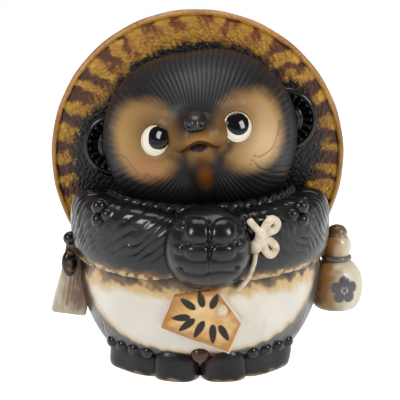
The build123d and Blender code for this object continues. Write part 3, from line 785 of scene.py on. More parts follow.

# %% [markdown]
# Iron glaze was dabbed round the edge over straw yellow and ran inwards in tongues, darker at the sides.
# Round the head and ears the brim is black glaze and the head's painted shadow. The tongues could be
# drawn one by one. A wave round the hat, pushed about by the unevenness, gives them all at once and
# no two alike.

# %% Painting the hat brim
TONGUES = 33
STRAW, STRAW_BROWN, GOLD_AND_SIDE_HIGHLIGHT, PLAIT_SHADE, BRIM_BACK = "#B98A30", "#8A4E16", "#D3AC44", "#6A3D10", "#7C5426"
IRON_RED, IRON_DARK, IRON_CORE, IRON_BLOOM = "#7C380E", "#2A1716", "#43190A", "#7B6672"
BLACK_AND_HEAD_SHADOW, LIP_STRAW, LIP_BROWN, LIP_EDGE = "#0F0D0F", "#B98A4E", "#8A5722", "#6A3C18"


def past_figure(places):
    """About how far outside the head's and ears' outlines a place on the brim lies."""
    across, _, up = into(HEAD_PLACE, places).T
    past_head = 62 * (np.hypot(across / 66, up / np.where(up > 0, 58, 68)) - 1)
    past_ears = np.hypot(np.abs(across) - EAR_OUT, up) - 23
    return np.minimum(past_head, past_ears) - 14 * step(22, -18, up)


def paint_brim(places):
    out, spoke = hat_polar(into(HAT_PLACE, places))
    blur, fine, slow = (unevenness(places, size, 31 + size) for size in (9, 3, 42))
    sideways = step(0.35, 0.85, np.abs(np.cos(spoke)))
    tongue = np.cos(TONGUES * spoke + 0.7 * blur + 1.2 * slow) + 0.25 * fine + 0.3 * slow
    reach = 89 - 12 * sideways + 5 * slow
    run = step(-0.45, 0.6, tongue) * step(reach - 6, reach + 7, out + 4 * fine + 3 * blur)
    core = step(0.2, 0.9, tongue) * step(reach + 1, reach + 9, out + 3 * fine)
    past = past_figure(places) + 1.8 * blur + 1.8 * fine
    lip = sprayed(coat_of(LIP_STRAW, places), (LIP_BROWN, 0.3 + 0.35 * slow + 0.2 * fine),
                  (LIP_EDGE, 0.6 * step(103, 104.6, out)))
    return sprayed(
        coat_of(STRAW, places),
        (STRAW_BROWN, 0.3 + 0.25 * fine + 0.3 * blur),
        # Gold patches of straw, laid on more at the sides, where the gold is a painted highlight.
        (GOLD_AND_SIDE_HIGHLIGHT, (0.4 + 0.4 * sideways) * step(0.1, 0.9, blur + 0.5 * fine)),
        (IRON_RED, 0.9 * run),
        (IRON_DARK, 0.9 * run * sideways),
        (IRON_CORE, 0.6 * core),
        (IRON_BLOOM, 0.12 * run * step(0.6, 1.2, fine - 0.4 * blur)),
        (PLAIT_SHADE, 0.5 * (1 - plait(out, spoke)) * step(98, 95, out)),
        # Round the head and ears: black glaze and the head's painted shadow, widest below the head.
        (BLACK_AND_HEAD_SHADOW, step(8.5, 2.5, past) * step(95, 86, out + 3 * fine)),
        (lip, step(100.4, 101.6, out + 0.5 * np.cos(TONGUES * spoke))),
        (BRIM_BACK, step(18.5, 20.5, places[:, 1]) * step(90, 100, out)),
    )


settle(brim, "hat_brim", STRAW_GLAZE, paint_brim)

# %% [markdown]
# The crown behind is a low cone laid in five plaited courses, each a little swollen. It could be five
# rings, but a single turned line is enough: the cone's own bow with a small bow added for every course.
# It is only seen from the sides and the back.

# %% Hat crown
CROWN_RIM, CROWN_TIP = np.array([103.5, 8.0]), np.array([6, 53.6])
CROWN_BOW, COURSE_BOW, COURSES, CROWN_STEPS, CROWN_DEPTH = 5, 2, 5, 40, 0.9
CROWN_STRAW, CROWN_BROWN, CROWN_IRON, CROWN_SHADE = "#A67A34", "#6E3E14", "#2A1A14", "#3C2410"
crown_span = CROWN_TIP - CROWN_RIM
crown_out = np.array([crown_span[1], -crown_span[0]]) / np.linalg.norm(crown_span)


def crown_point(share):
    """A point on the crown's outer line, at a share of the way from the rim to the tip."""
    course = share * COURSES % 1
    bow = 4 * CROWN_BOW * share * (1 - share) + 4 * COURSE_BOW * course * (1 - course)
    return tuple(CROWN_RIM + crown_span * share + crown_out * bow)


CROWN_LINE = [(0, 46), (40, 33), (86, 11), (100, 8.2)]
CROWN_LINE += [crown_point(i / CROWN_STEPS) for i in range(CROWN_STEPS + 1)] + [(0, 53.8)]


def carve_crown(places):
    out, spoke = hat_polar(places)
    cone = CROWN_RIM[1] + crown_span[1] * (out - CROWN_RIM[0]) / crown_span[0]
    outside = step(-2, 0.5, places[:, 2] - cone) * step(5, 12, out)
    shape = places.copy()
    shape[:, 2] += CROWN_DEPTH * outside * (plait(out, spoke) - 1)
    return moved(HAT_PLACE)(shape)


def paint_crown(places):
    out, spoke = hat_polar(into(HAT_PLACE, places))
    blur, fine = unevenness(places, 14, 41), unevenness(places, 3, 42)
    tongue = np.cos(TONGUES * spoke + 0.8 * blur) + 0.3 * fine
    return sprayed(
        coat_of(CROWN_STRAW, places),
        (CROWN_BROWN, 0.45 + 0.35 * blur + 0.25 * fine),
        (CROWN_IRON, 0.8 * step(-0.1, 0.7, tongue) * step(62, 92, out + 5 * blur)),
        (CROWN_SHADE, 0.6 * (1 - plait(out, spoke))),
    )


settle(turned(CROWN_LINE, 480, 180, carve_crown), "hat_crown", STRAW_GLAZE, paint_crown)

# %% [markdown]
# ## The torso
# The torso is a squat pot. The belly is left smooth and glazed cream, and everything round it is combed
# fur under black. The cream has run amber where it pools along the black edge, and the dark brown band
# just under the arms is their painted shadow. Belly and fur could be two pieces, but they are one
# casting, so the carving and the paint both follow how far a place is inside the belly's oval.

# %% Torso
BODY_RADIUS, BODY_WIDEST, LOW_BEND, HIGH_BEND = 85.7, 62, 86.9, 60.2
BELLY_TURN, BELLY_TOP, BELLY_DROP = 67, 66, 46
BODY_FUR_DEPTH, BODY_LOCK_DEPTH = 0.9, 0.8


def torso_radius(up):
    """Radius of the torso's skin at a height."""
    bend = LOW_BEND if up < BODY_WIDEST else HIGH_BEND
    return BODY_RADIUS - bend + sqrt(bend**2 - (up - BODY_WIDEST) ** 2)


BODY_LINE = [(0, 0.2), (50, 0.2), (58.6, 0.6), (61, 2.4)]
BODY_LINE += [(torso_radius(up), up) for up in (*range(6, 114, 6), 117)] + [(43, 119.4), (0, 119.5)]


def turn_of(places):
    """Degrees round the torso from the front, towards the figure's left."""
    return np.degrees(np.arctan2(places[:, 0], -places[:, 1]))


def belly_inside(places):
    """1 in the middle of the belly's oval, 0 on its edge and less than 0 outside."""
    below = np.maximum(BELLY_TOP - places[:, 2], 0) / BELLY_DROP
    return 1 - (np.abs(turn_of(places) / BELLY_TURN) ** 2.6 + below**2) ** 0.5


def body_strokes(places):
    turn = turn_of(places)
    return combed(1.5 * turn + 0.5 * places[:, 2] * np.sign(turn) + 2.4 * unevenness(places, 24, 51))


def carve_body(places):
    out, turn, up = out_of(places), turn_of(places), places[:, 2]
    fur = step(-0.02, -0.14, belly_inside(places)) * step(6, 16, up) * step(40, 55, out)
    fur *= 0.7 + 0.3 * unevenness(places, 18, 52)
    locks = hump(up - BELLY_TOP, 6) * step(64, 50, np.abs(turn))
    away = BODY_FUR_DEPTH * fur * (body_strokes(places) - 1)
    away += BODY_LOCK_DEPTH * locks * (combed(0.52 * turn) - 0.6)
    shape = places.copy()
    shape[:, :2] *= (1 + away / np.maximum(out, 1))[:, None]
    return shape


torso = turned(BODY_LINE, 540, 168, carve_body)
print("torso", len(torso.faces), "faces, not fired yet")

# %% Painting the torso
CREAM, CREAM_GREY, BARE_CLAY = "#E2DCCF", "#D6CFC2", "#A98E70"
PALE_AMBER, AMBER, DARK_AMBER, ARM_SHADOW_BROWN = "#C7AC78", "#C79E50", "#6E4A1E", "#4E2E0C"


def paint_body(places):
    up, aside = places[:, 2], step(30, 62, np.abs(turn_of(places)))
    inside = belly_inside(places) + 0.014 * unevenness(places, 14, 53) + 0.006 * unevenness(places, 4, 54)
    cloud = up + 2.2 * unevenness(places, 16, 57) + 0.8 * unevenness(places, 5, 60)
    belly = sprayed(
        coat_of(CREAM, places),
        (CREAM_GREY, 0.5 + 0.4 * unevenness(places, 40, 56)),
        (PALE_AMBER, 0.75 * step(0.1 + 0.16 * aside, 0.02, inside)),
        (DARK_AMBER, 0.9 * step(0.035 + 0.1 * aside, 0.0, inside)),
        (AMBER, 0.85 * step(56.5, 65, cloud)),
        # The dark brown band just under the arms is their painted shadow.
        (ARM_SHADOW_BROWN, 0.9 * step(64.6, 68, cloud + 1.6 * unevenness(places, 28, 59))),
        (BLACK, step(68, 72, cloud)),
    )
    return sprayed(
        coat_of(BLACK, places),
        (BLACK_THIN, 0.7 + 0.3 * unevenness(places, 30, 55)),
        (BLACK, 0.7 * (1 - body_strokes(places))),
        (belly, step(-0.03, 0.03 + 0.04 * aside, inside)),
        (BARE_CLAY, 0.85 * step(2.2, 0.7, up + 0.8 * unevenness(places, 10, 58))),
    )


settle(torso, "body_shell", BELLY_GLAZE, paint_body)

# %% [markdown]
# ## Arms
# Each arm hugs the torso from the shoulder to the wrist, a fat roll with long carved strokes that sweep
# down and forward and gather into locks. Its lower edge is smooth and ends in a pale fringe over the
# belly. It could be a curve with a bevel, but then the strokes would have nothing to follow. So a ball is
# stretched round the torso, with the shoulder and the wrist for its poles.

# %% Arms
ARM_RING, ARM_THICK, ARM_TALL, ARM_Z, ARM_SQUARE, ARM_LENGTH = 72.6, 15.9, 24.8, 92, 3.0, 135
SHOULDER_TURN, WRIST_TURN, SHOULDER_OUT = 101, 1, 3
COMB_ALONG, COMB_RISE, COMB_COUNT, COMB_DEPTH, FRINGE_LOCKS = -12, -95, 24, 1.15, 14


def ringed(turn, radius, up):
    """Places at a turn from the front towards the figure's left, in radians, at a radius and a height."""
    return np.column_stack([radius * np.sin(turn), -radius * np.cos(turn), up])


def arm_locks(along, rise, places, seed):
    """The carved fur of an arm, 0 in a groove and 1 on a ridge, and where it is carved deep."""
    sweep = pi * COMB_COUNT * np.arctan2(rise - COMB_RISE, along - COMB_ALONG)
    sweep += 1.5 * unevenness(places, 40, seed) + 0.5 * unevenness(places, 16, seed + 1)
    deep = (0.45 + 0.55 * step(-0.6, 0.6, unevenness(places, 20, seed + 2))) * step(-13, -1, rise)
    return np.abs(np.sin(sweep)), deep


def carve_arm(side):
    seed = 61 if side > 0 else 71

    def carve(ball_places):
        share, round_it = 1 - latitude(ball_places), spoke_of(ball_places)
        way_out, way_up = np.cos(round_it), np.sin(round_it)
        turn = np.radians(SHOULDER_TURN + (WRIST_TURN - SHOULDER_TURN) * share)
        ring = ARM_RING + SHOULDER_OUT * step(40, 80, np.degrees(turn))
        full = np.maximum(1 - np.abs(2 * share - 1) ** 6, 0) ** 0.5
        reach = full / blunt(np.column_stack([way_out / ARM_THICK, way_up / ARM_TALL]), ARM_SQUARE)
        plain = ringed(side * turn, ring + reach * way_out, ARM_Z + reach * way_up)
        strokes, deep = arm_locks(share * ARM_LENGTH, reach * way_up, plain, seed)
        ends = step(0.0, 0.1, share) * step(1.0, 0.88, share) * step(2.5, 2.0, np.abs(round_it))
        carved = reach - COMB_DEPTH * (1 - strokes**0.8) * deep * ends
        low = hump(round_it + pi / 2, 0.5) * full * step(0.05, 0.2, share)
        fringe = combed(2 * pi * FRINGE_LOCKS * share + 2.5 * unevenness(plain, 24, seed + 3))
        slope = 2.5 * (1 - share) - 2.0 * share
        rise = carved * way_up + low * (0.2 - 1.8 * fringe) + slope * full
        return ringed(side * turn, ring + carved * way_out, ARM_Z + rise)

    return carve


arms = {side: ball(280, 300, carve_arm(sign)) for side, sign in SIDES.items()}
print("arms", [len(arm.faces) for arm in arms.values()], "faces, not fired yet")

# %% Painting the arms
ARM_BLACK, TABLE_REFLECTION_GREY, FRINGE_BROWN, FRINGE_PALE = "#1B1A1C", "#2F2E32", "#6E4C22", "#C9AF7C"


def paint_arm(places):
    blur, up = unevenness(places, 16, 63), places[:, 2]
    low = up + 0.9 * unevenness(places, 6, 64) + 0.8 * unevenness(places, 18, 66)
    return sprayed(
        coat_of(BLACK, places),
        (ARM_BLACK, 0.5 + 0.4 * blur),
        # The grey on the arm's lower part is a painted reflection of the white table.
        (TABLE_REFLECTION_GREY, 0.8 * step(84, 74, up + 3 * blur)),
        (FRINGE_BROWN, 0.9 * step(78, 74.5, low)),
        (FRINGE_PALE, 0.9 * step(75.5, 72.5, low) * step(-0.9, 0.1, unevenness(places, 5, 65))),
    )


for side, arm in arms.items():
    settle(arm, side + "_arm", WET_GLAZE, paint_arm)

# %% [markdown]
# ## Clasped paws
# The paws are one dome of clay with two columns of fingers pressed into it, meeting in a groove down the
# middle. Each finger could be a ball of its own, but they would look stuck on. So the dome and its
# fingers are one field, and a cut along the groove makes it two pieces.

# %% Paws
PAW_MIDDLE, PAW_HALF = np.array([4.8, -77.5, 92.5]), np.array([28.6, 25.4, 27])
PAW_SPLIT, PAW_SQUARE, GROOVE_DEPTH = 5.5, 2.2, 1.2
# Each knuckle's column, row, half width, half height and how far it stands out.
KNUCKLES = [(-1.6, 108, 8.2, 7.6, 3.4), (14.6, 107.6, 8.0, 7.4, 3.2), (-1.8, 95.8, 8.0, 5.0, 3.2),
            (14.4, 95.8, 7.8, 5.0, 3.2), (-12.6, 111, 4.0, 3.4, 1.2), (-13, 96.4, 3.6, 3.0, 1.4),
            (26, 98.4, 4.4, 3.6, 1.8), (24.6, 106, 4.0, 3.4, 1.4)]


def finger_swell(across, up):
    """How far the knuckles stand out of the dome."""
    swell = np.zeros(len(across))
    for column, row, half_wide, half_tall, proud in KNUCKLES:
        away = np.abs((across - column) / half_wide) ** 2.6 + np.abs((up - row) / half_tall) ** 2.4
        swell = np.maximum(swell, proud * np.maximum(1 - away, 0) ** 0.6)
    return swell + 1.6 * hump(up - 88, 4) * step(26, 16, np.abs(across - PAW_SPLIT))


def carve_paws(ball_places):
    places = PAW_MIDDLE + ball_places / blunt(ball_places / PAW_HALF, PAW_SQUARE)[:, None]
    aside, up = places[:, 0] - PAW_SPLIT, places[:, 2]
    front = step(-0.1, -0.6, ball_places[:, 1])
    wave = 81.4 + 1.3 * np.sin(aside / 5)
    grooves = hump(up - wave, 1.0) * step(20, 14, np.abs(aside))
    grooves += hump(aside, 0.8) * step(78, 86, up) * step(116, 110, up)
    swell = finger_swell(places[:, 0], up) - GROOVE_DEPTH * grooves
    return places + ball_places * (front * swell)[:, None]


print("knuckles:", len(KNUCKLES))

# %% Painting and parting the paws
PAW_BLACK, PAW_FRINGE = "#1A191B", "#9A7444"


def paint_paws(places):
    up = places[:, 2]
    return sprayed(
        coat_of(BLACK, places),
        (PAW_BLACK, 0.5 + 0.4 * unevenness(places, 14, 81)),
        # The grey on the lower paws is a painted reflection of the white table.
        (TABLE_REFLECTION_GREY, 0.8 * step(83, 73, up + 2 * unevenness(places, 12, 82))),
        (PAW_FRINGE, 0.8 * step(69.5, 66.6, up + unevenness(places, 8, 83))),
    )


for side, sign in SIDES.items():
    paw = ball(300, 190, carve_paws)
    geom = paw.verts[:] + paw.edges[:] + paw.faces[:]
    bmesh.ops.bisect_plane(paw, geom=geom, plane_co=(PAW_SPLIT, 0, 0), plane_no=(sign, 0, 0), clear_inner=True)
    bmesh.ops.holes_fill(paw, edges=[edge for edge in paw.edges if edge.is_boundary])
    settle(paw, side + "_paw", WET_GLAZE, paint_paws)

# %% Claws
CLAW_MIDDLES, CLAW_HALF = [(-12.2, -97.6, 83.4), (23, -97.2, 84.4)], (2.5, 2.3, 2.5)


def small_balls(middles, half, segments=48, rings=28):
    """Several small balls in one mesh."""
    bm = bmesh.new()
    for middle in middles:
        place = Matrix.Translation(middle) @ Matrix.Diagonal((*half, 1))
        bmesh.ops.create_uvsphere(bm, u_segments=segments, v_segments=rings, radius=1, matrix=place)
    return bm


def paint_black(places):
    return sprayed(coat_of(BLACK, places), (BLACK_THIN, 0.35 + 0.3 * unevenness(places, 8, 91)))


settle(small_balls(CLAW_MIDDLES, CLAW_HALF, 32, 18), "paw_claws", WET_GLAZE, paint_black)

# %% [markdown]
# ## Hat cord and knots
# The cord under the cheeks is a two-strand twist moulded in clay. Two strands could be wound round each
# other, but moulded clay has no gap between them. So a ball is stretched into a long roll whose section
# is two lobes that turn as they go along, which leaves the slanting valleys of a rope.

# %% Hat cord
CORD_RING, CORD_RADIUS, CORD_Z, CORD_SWEEP, CORD_TWISTS = 64.6, 4.3, 114.2, radians(75), 17


def carve_cord(ball_places):
    along, round_it = 2 * latitude(ball_places) - 1, spoke_of(ball_places)
    end = np.maximum(1 - np.abs(along) ** 60, 0) ** 0.5
    twist = np.abs(np.cos(round_it - CORD_TWISTS * pi * along / 2)) ** 0.8
    lobe = CORD_RADIUS * (0.6 + 0.4 * twist) * end
    lift = CORD_Z + lobe * np.sin(round_it) + 3.0 * along**2 + 1.5 * along
    return ringed(CORD_SWEEP * along, CORD_RING + lobe * np.cos(round_it), lift)


settle(ball(40, 420, carve_cord), "hat_cord", WET_GLAZE, paint_black)

# %% Cord knots
KNOT_LOBES, LOBE_HALF = [(-3.2, -2, -1.5), (3.0, 1, 3.4), (3.2, 0.5, -5.4)], (4.9, 4.6, 4.9)


def middle_of(node):
    """The middle of a node's box in millimetres."""
    low, high = (np.array(corner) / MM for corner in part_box(node))
    return (low + high) / 2


for side, sign in SIDES.items():
    knot = side + "_cord_knot"
    lobes = [middle_of(knot) + np.array([sign * x, y, z]) for x, y, z in KNOT_LOBES]
    settle(small_balls(lobes, LOBE_HALF), knot, WET_GLAZE, paint_black)

# %% [markdown]
# ## Plaque and bow
# The votive plaque is a flat house-shaped tile with softly rounded front edges. Its front holds a plain
# spray of bamboo leaves in brush strokes. A box with a bevel would give the shape, but no vertices to
# paint the leaves on. So a fine grid is cut to the tile's outline and extruded, its rim is rounded by a
# field, and the leaves are painted as slim ovals along their midribs.

# %% Plaque
PLAQUE_PLACE = Matrix.Translation((-3, -88.2, 33)) @ Matrix.Rotation(radians(22), 4, "Y")
PLAQUE_PLACE = PLAQUE_PLACE @ Matrix.Rotation(radians(90), 4, "X")
PLAQUE_HALF, PLAQUE_WALL, PLAQUE_RIDGE, PLAQUE_THICK, PLAQUE_ROUND = 23.5, 23, 38, 7, 1.6
ROOF_RISE = PLAQUE_RIDGE - PLAQUE_WALL


def plaque_inset(x, y):
    """How far a place lies inside the tile's outline."""
    eaves = PLAQUE_WALL + ROOF_RISE * (1 - np.abs(x) / PLAQUE_HALF)
    return np.minimum(np.minimum(PLAQUE_HALF - np.abs(x), y), (eaves - y) * 0.84)


def round_rim(places):
    shape = places.copy()
    near = np.clip(1 - plaque_inset(places[:, 0], places[:, 1]) / PLAQUE_ROUND, 0, 1)
    shape[:, 2] -= np.where(places[:, 2] > -1, PLAQUE_ROUND * (1 - np.sqrt(1 - near**2)), 0)
    return shape


def make_plaque():
    bm = bmesh.new()
    bmesh.ops.create_grid(bm, x_segments=110, y_segments=90, size=1)
    bmesh.ops.scale(bm, vec=(PLAQUE_HALF, PLAQUE_RIDGE / 2, 1), verts=bm.verts)
    bmesh.ops.translate(bm, vec=(0, PLAQUE_RIDGE / 2, 0), verts=bm.verts)
    for side in SIDES.values():
        geom = bm.verts[:] + bm.edges[:] + bm.faces[:]
        slope = (side * ROOF_RISE, PLAQUE_HALF, 0)
        bmesh.ops.bisect_plane(bm, geom=geom, plane_co=(0, PLAQUE_RIDGE, 0), plane_no=slope, clear_outer=True)
    lip = bmesh.ops.extrude_face_region(bm, geom=bm.faces[:])["geom"]
    behind = [item for item in lip if isinstance(item, bmesh.types.BMVert)]
    bmesh.ops.translate(bm, vec=(0, 0, -PLAQUE_THICK), verts=behind)
    sculpt(bm, round_rim)
    bmesh.ops.transform(bm, matrix=PLAQUE_PLACE, verts=bm.verts)
    return bm


tile = make_plaque()
print("plaque", len(tile.faces), "faces, not fired yet")

# %% Painting the plaque
PLAQUE_TAN, PLAQUE_PALE, PLAQUE_RUST, LEAF_INK, PLAQUE_RIM = "#C9985A", "#DDBD8A", "#A0642A", "#2E2826", "#E8DFCF"
LEAF_HALF = 2.6
# Each leaf's root, heading in degrees and length.
LEAVES = [((-9, 14), 205, 12), ((-6, 14), 240, 13), ((0, 15), 262, 13), ((6, 15), 292, 13),
          ((10, 16), 322, 12), ((-8, 20), 165, 12), ((-4, 23), 125, 11), ((1, 24), 88, 11)]


def leaf_cover(x, y, leaf):
    """1 on a leaf of the spray."""
    (root_x, root_y), heading, length = leaf
    along_x, along_y = cos(radians(heading)), sin(radians(heading))
    along = (x - root_x) * along_x + (y - root_y) * along_y
    aside = np.abs(-(x - root_x) * along_y + (y - root_y) * along_x)
    share = np.clip(along / length, 0, 1)
    half = LEAF_HALF * (share * (1 - share) * 4) ** 0.6 * (1.15 - 0.5 * share)
    return step(0.35, -0.25, aside - half) * (along > 0) * (along < length)


def paint_plaque(places):
    x, y, _ = into(PLAQUE_PLACE, places).T
    inset = plaque_inset(x, y)
    return sprayed(
        coat_of(PLAQUE_TAN, places),
        (PLAQUE_PALE, 0.5 + 0.5 * unevenness(places, 14, 101)),
        (PLAQUE_RUST, 0.7 * step(8, 1.5, inset + 2 * unevenness(places, 9, 102))),
        *((LEAF_INK, leaf_cover(x, y, leaf)) for leaf in LEAVES),
        (PLAQUE_RIM, 0.8 * step(1.6, 0.6, inset) * step(0, 6, x)),
    )


settle(tile, "plaque", FACE_GLAZE, paint_plaque)

# %% [markdown]
# The bow and its string are thin rolls of clay. A curve with a bevel would give them too, and would then
# be turned into a mesh. A ball stretched along a smooth line is a mesh from the start, round all along
# and with blunt ends, so one function makes the loops, the end and the string.

# %% Rolls of clay
ROLL_POINTS = 240


def roll(points, radius):
    """A roll of clay along a smooth line through a few points."""
    line = smooth_line(points, ROLL_POINTS)
    ahead = np.gradient(line, axis=0)
    ahead /= np.linalg.norm(ahead, axis=1)[:, None]
    aside = np.cross(ahead, (0, 1, 0))
    aside /= np.linalg.norm(aside, axis=1)[:, None]
    third = np.cross(ahead, aside)

    def carve(ball_places):
        share = latitude(ball_places)
        at = np.round(share * (ROLL_POINTS - 1)).astype(int)
        round_it = spoke_of(ball_places)[:, None]
        thick = radius * np.maximum(1 - np.abs(2 * share - 1) ** 14, 0)[:, None] ** 0.5
        return at_share(line, share) + thick * (np.cos(round_it) * aside[at] + np.sin(round_it) * third[at])

    return ball(24, 160, carve)


print("points along a roll:", ROLL_POINTS)

# %% Bow and string
BOW = Vector((39, -82, 101))
BOW_ROLLS = {
    "bow_upper_loop": ([(0, -1, 1), (3.6, 0.6, 2.4), (8.2, 3, 3.6), (9.8, 4, 7.6), (6.6, 2.4, 10.4),
                        (3.2, 0.6, 7.6), (0, -1, 2)], 2.7),
    "bow_lower_loop": ([(0, -1, -1), (5.4, 1.6, -3.6), (9, 4, -8.6), (6.2, 2.6, -12.6), (2.6, 0.6, -9.4),
                        (0, -1, -2)], 2.8),
    "bow_end": ([(1, -1.2, 1), (-4, -2, 6), (-8.5, -2.4, 11.5)], 2.3),
    "plaque_string": ([(0, -1, -1), (-3.4, -1.2, -10), (-5, -2.6, -18), (-8.5, -5, -26), (-15, -6.6, -34)], 1.6),
}
BOW_LUMPS, BOW_LUMP_HALF = ((0, -1.4, 1.5), (-1.5, -1.6, -3.5), (-4, -2, -6.5)), (4.2, 3.0, 4.6)
STRING_KNOT, STRING_KNOT_HALF = Vector((8, 26, 1)), (3.4, 2.4, 4)
BISQUE_WHITE, BISQUE_TAN, BISQUE_RUST = "#DDD2BE", "#C9B898", "#A98652"


def paint_bisque(places):
    return sprayed(
        coat_of(BISQUE_WHITE, places),
        (BISQUE_TAN, 0.4 + 0.4 * unevenness(places, 6, 111)),
        (BISQUE_RUST, 0.5 * step(0.6, 1.2, unevenness(places, 9, 112))),
    )


for node, (points, radius) in BOW_ROLLS.items():
    clay = roll([BOW + Vector(point) for point in points], radius)
    settle(clay, node, BISQUE, paint_bisque)
bow_knot = small_balls([BOW + Vector(shift) for shift in BOW_LUMPS], BOW_LUMP_HALF)
settle(bow_knot, "bow_knot", BISQUE, paint_bisque)
string_knot = small_balls([PLAQUE_PLACE @ STRING_KNOT], STRING_KNOT_HALF, 40, 24)
settle(string_knot, "plaque_knot", BISQUE, paint_bisque)

# %% [markdown]
# ## Sake flask
# The flask is a gourd with a tied waist, thrown and then pressed on to the figure's side. Its front
# holds a plain five-petalled plum blossom in grey. It turns amber and then brown towards its inner side,
# which faces the torso. It could be one turned piece, but the tied band and the stopper are separate
# clay, so four profiles share one axis.

# %% Flask
FLASK_AXIS, FLASK_FOOT = np.array([98.2, 5.1]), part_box("flask_body")[0][2] / MM
FLASK_PARTS = {
    "flask_body": [(0, 0), (7, 0), (12.5, 0.4), (16, 3.0), (18.6, 9.5), (19.2, 17.5), (17.8, 26), (13.6, 32.5),
                   (9.4, 36), (7.5, 37.6), (0, 37.8)],
    "flask_band": [(0, 35.4), (7, 35.5), (9.8, 35.9), (10.9, 37.3), (10.4, 38.9), (8.6, 39.8), (0, 40)],
    "flask_neck": [(0, 38.6), (7.5, 38.8), (9.7, 41.5), (10.4, 45.6), (9.6, 50.0), (7.4, 53.5), (5.4, 55.0),
                   (0, 55.6)],
    "flask_stopper": [(0, 53.4), (6.2, 53.6), (7.3, 55.2), (7.0, 57.4), (5.4, 59.8), (2.8, 61.2), (0, 61.6)],
}
print("the flask's foot is at", round(FLASK_FOOT, 1), "mm")

# %% Painting the flask
BLOOM_HEADING, BLOOM_UP, BLOOM_RING, PETALS, PETAL_OUT, PETAL_RADIUS, HEART_RADIUS = 12, 18, 19, 5, 6.2, 4.1, 1.8
FLASK_WHITE, FLASK_TAN, FLASK_AMBER, FLASK_BROWN, BLOOM_GREY = "#D8CFBC", "#C4B593", "#9C6822", "#5A3413", "#45464A"
BAND_DARK, BAND_PALE, STOPPER_BROWN = "#56524E", "#7A736A", "#5A3816"


def bloom_petals(x, up):
    """The cover of each petal of the blossom."""
    for petal in range(PETALS):
        spoke = 2 * pi * petal / PETALS + pi / 2
        away = np.hypot(x - PETAL_OUT * cos(spoke), up - PETAL_OUT * sin(spoke))
        yield step(0.4, -0.3, away - PETAL_RADIUS)


def paint_flask(places):
    x, y, up = (places - (*FLASK_AXIS, FLASK_FOOT)).T
    inward = -x / np.maximum(np.hypot(x, y), 1)
    bloom_x = np.radians(np.degrees(np.arctan2(x, -y)) - BLOOM_HEADING) * BLOOM_RING
    bloom_up = up - BLOOM_UP
    return sprayed(
        coat_of(FLASK_WHITE, places),
        (FLASK_TAN, 0.4 + 0.4 * unevenness(places, 12, 121)),
        (FLASK_AMBER, 0.9 * step(-0.42, 0.53, inward + 0.2 * unevenness(places, 8, 122))),
        (FLASK_BROWN, 0.7 * step(0.64, 0.98, inward + 0.12 * unevenness(places, 6, 123))),
        *((BLOOM_GREY, petal) for petal in bloom_petals(bloom_x, bloom_up)),
        (BLOOM_GREY, step(0.3, -0.3, np.hypot(bloom_x, bloom_up) - HEART_RADIUS)),
    )


def paint_band(places):
    return sprayed(coat_of(BAND_DARK, places), (BAND_PALE, 0.5 + 0.4 * unevenness(places, 8, 125)))


def paint_stopper(places):
    up = places[:, 2] - FLASK_FOOT + unevenness(places, 5, 126)
    return sprayed(paint_flask(places), (STOPPER_BROWN, 0.9 * step(51, 58, up)))


FLASK_PAINTS = {"flask_body": ("flask_glaze", paint_flask), "flask_band": ("band_glaze", paint_band),
                "flask_neck": ("flask_glaze", paint_stopper), "flask_stopper": ("flask_glaze", paint_stopper)}
for node, profile in FLASK_PARTS.items():
    slot, paint = FLASK_PAINTS[node]
    flask = turned(profile, 120, 120, moved(Matrix.Translation((*FLASK_AXIS, FLASK_FOOT))))
    settle(flask, node, BELLY_GLAZE, paint)

# %% [markdown]
# ## Passbook
# The passbook is a fat ledger tied to the figure's right side. Its page edges face forward, streaked
# with amber, and its cover is plain with ruled bars. Its pages could be sheets, but here they are one
# block of clay. So a bevelled box is carved with fine upright grooves, and spread a little towards its
# foot.

# %% Passbook
BOOK_TURN, BOOK_LEAN, BOOK_RING, BOOK_UP = -86, 9, 88.3, 55
BOOK_HALF, BOOK_EDGE, BOOK_CUTS, LONG_EDGE, PAGE_GAP = np.array([11, 16, 26]), 2.4, 44, 8, 1.7


def around(turn, radius, up):
    """One place at a turn in degrees from the front towards the figure's left."""
    return Vector(ringed(radians(turn), radius, up)[0])


BOOK_FACING = Matrix.Rotation(radians(270 + BOOK_TURN), 4, "Z") @ Matrix.Rotation(radians(-BOOK_LEAN), 4, "Y")
BOOK_PLACE = Matrix.Translation(around(BOOK_TURN, BOOK_RING, BOOK_UP)) @ BOOK_FACING


def carve_book(places):
    shape = places.copy()
    x, _, z = places.T
    wide, deep, _ = (places / BOOK_HALF).T
    pages = step(0.97, 0.999, deep) * step(0.93, 0.86, np.abs(wide))
    shape[:, 1] -= pages * (0.6 + 0.35 * combed(2 * pi * x / PAGE_GAP + 0.6 * np.sin(z / 7)))
    shape[:, :2] *= (1 - 0.12 * step(-20, 26, z))[:, None]
    shape[:, 0] += 2.6 * step(6, -26, z) * step(0, 11, x)
    return moved(BOOK_PLACE)(shape)


book = bmesh.new()
bmesh.ops.create_cube(book, size=2)
bmesh.ops.scale(book, vec=BOOK_HALF, verts=book.verts)
bmesh.ops.bevel(book, geom=book.edges[:], offset=BOOK_EDGE, affect="EDGES", segments=4, profile=0.5, material=-1)
long_edges = [edge for edge in book.edges if edge.calc_length() > LONG_EDGE]
bmesh.ops.subdivide_edges(book, edges=long_edges, cuts=BOOK_CUTS, use_grid_fill=True)
sculpt(book, carve_book)
print("passbook", len(book.faces), "faces, not fired yet")

# %% Painting the passbook
PAGE_WHITE, PAGE_TAN, PAGE_AMBER, BOOK_DARK, BOOK_BROWN = "#D0C5AE", "#B5A684", "#7E4E1A", "#3A3634", "#5E3A14"
COVER_GREY, BAR_GREY, BAR_PITCH = "#BDB9B2", "#5A5652", 8


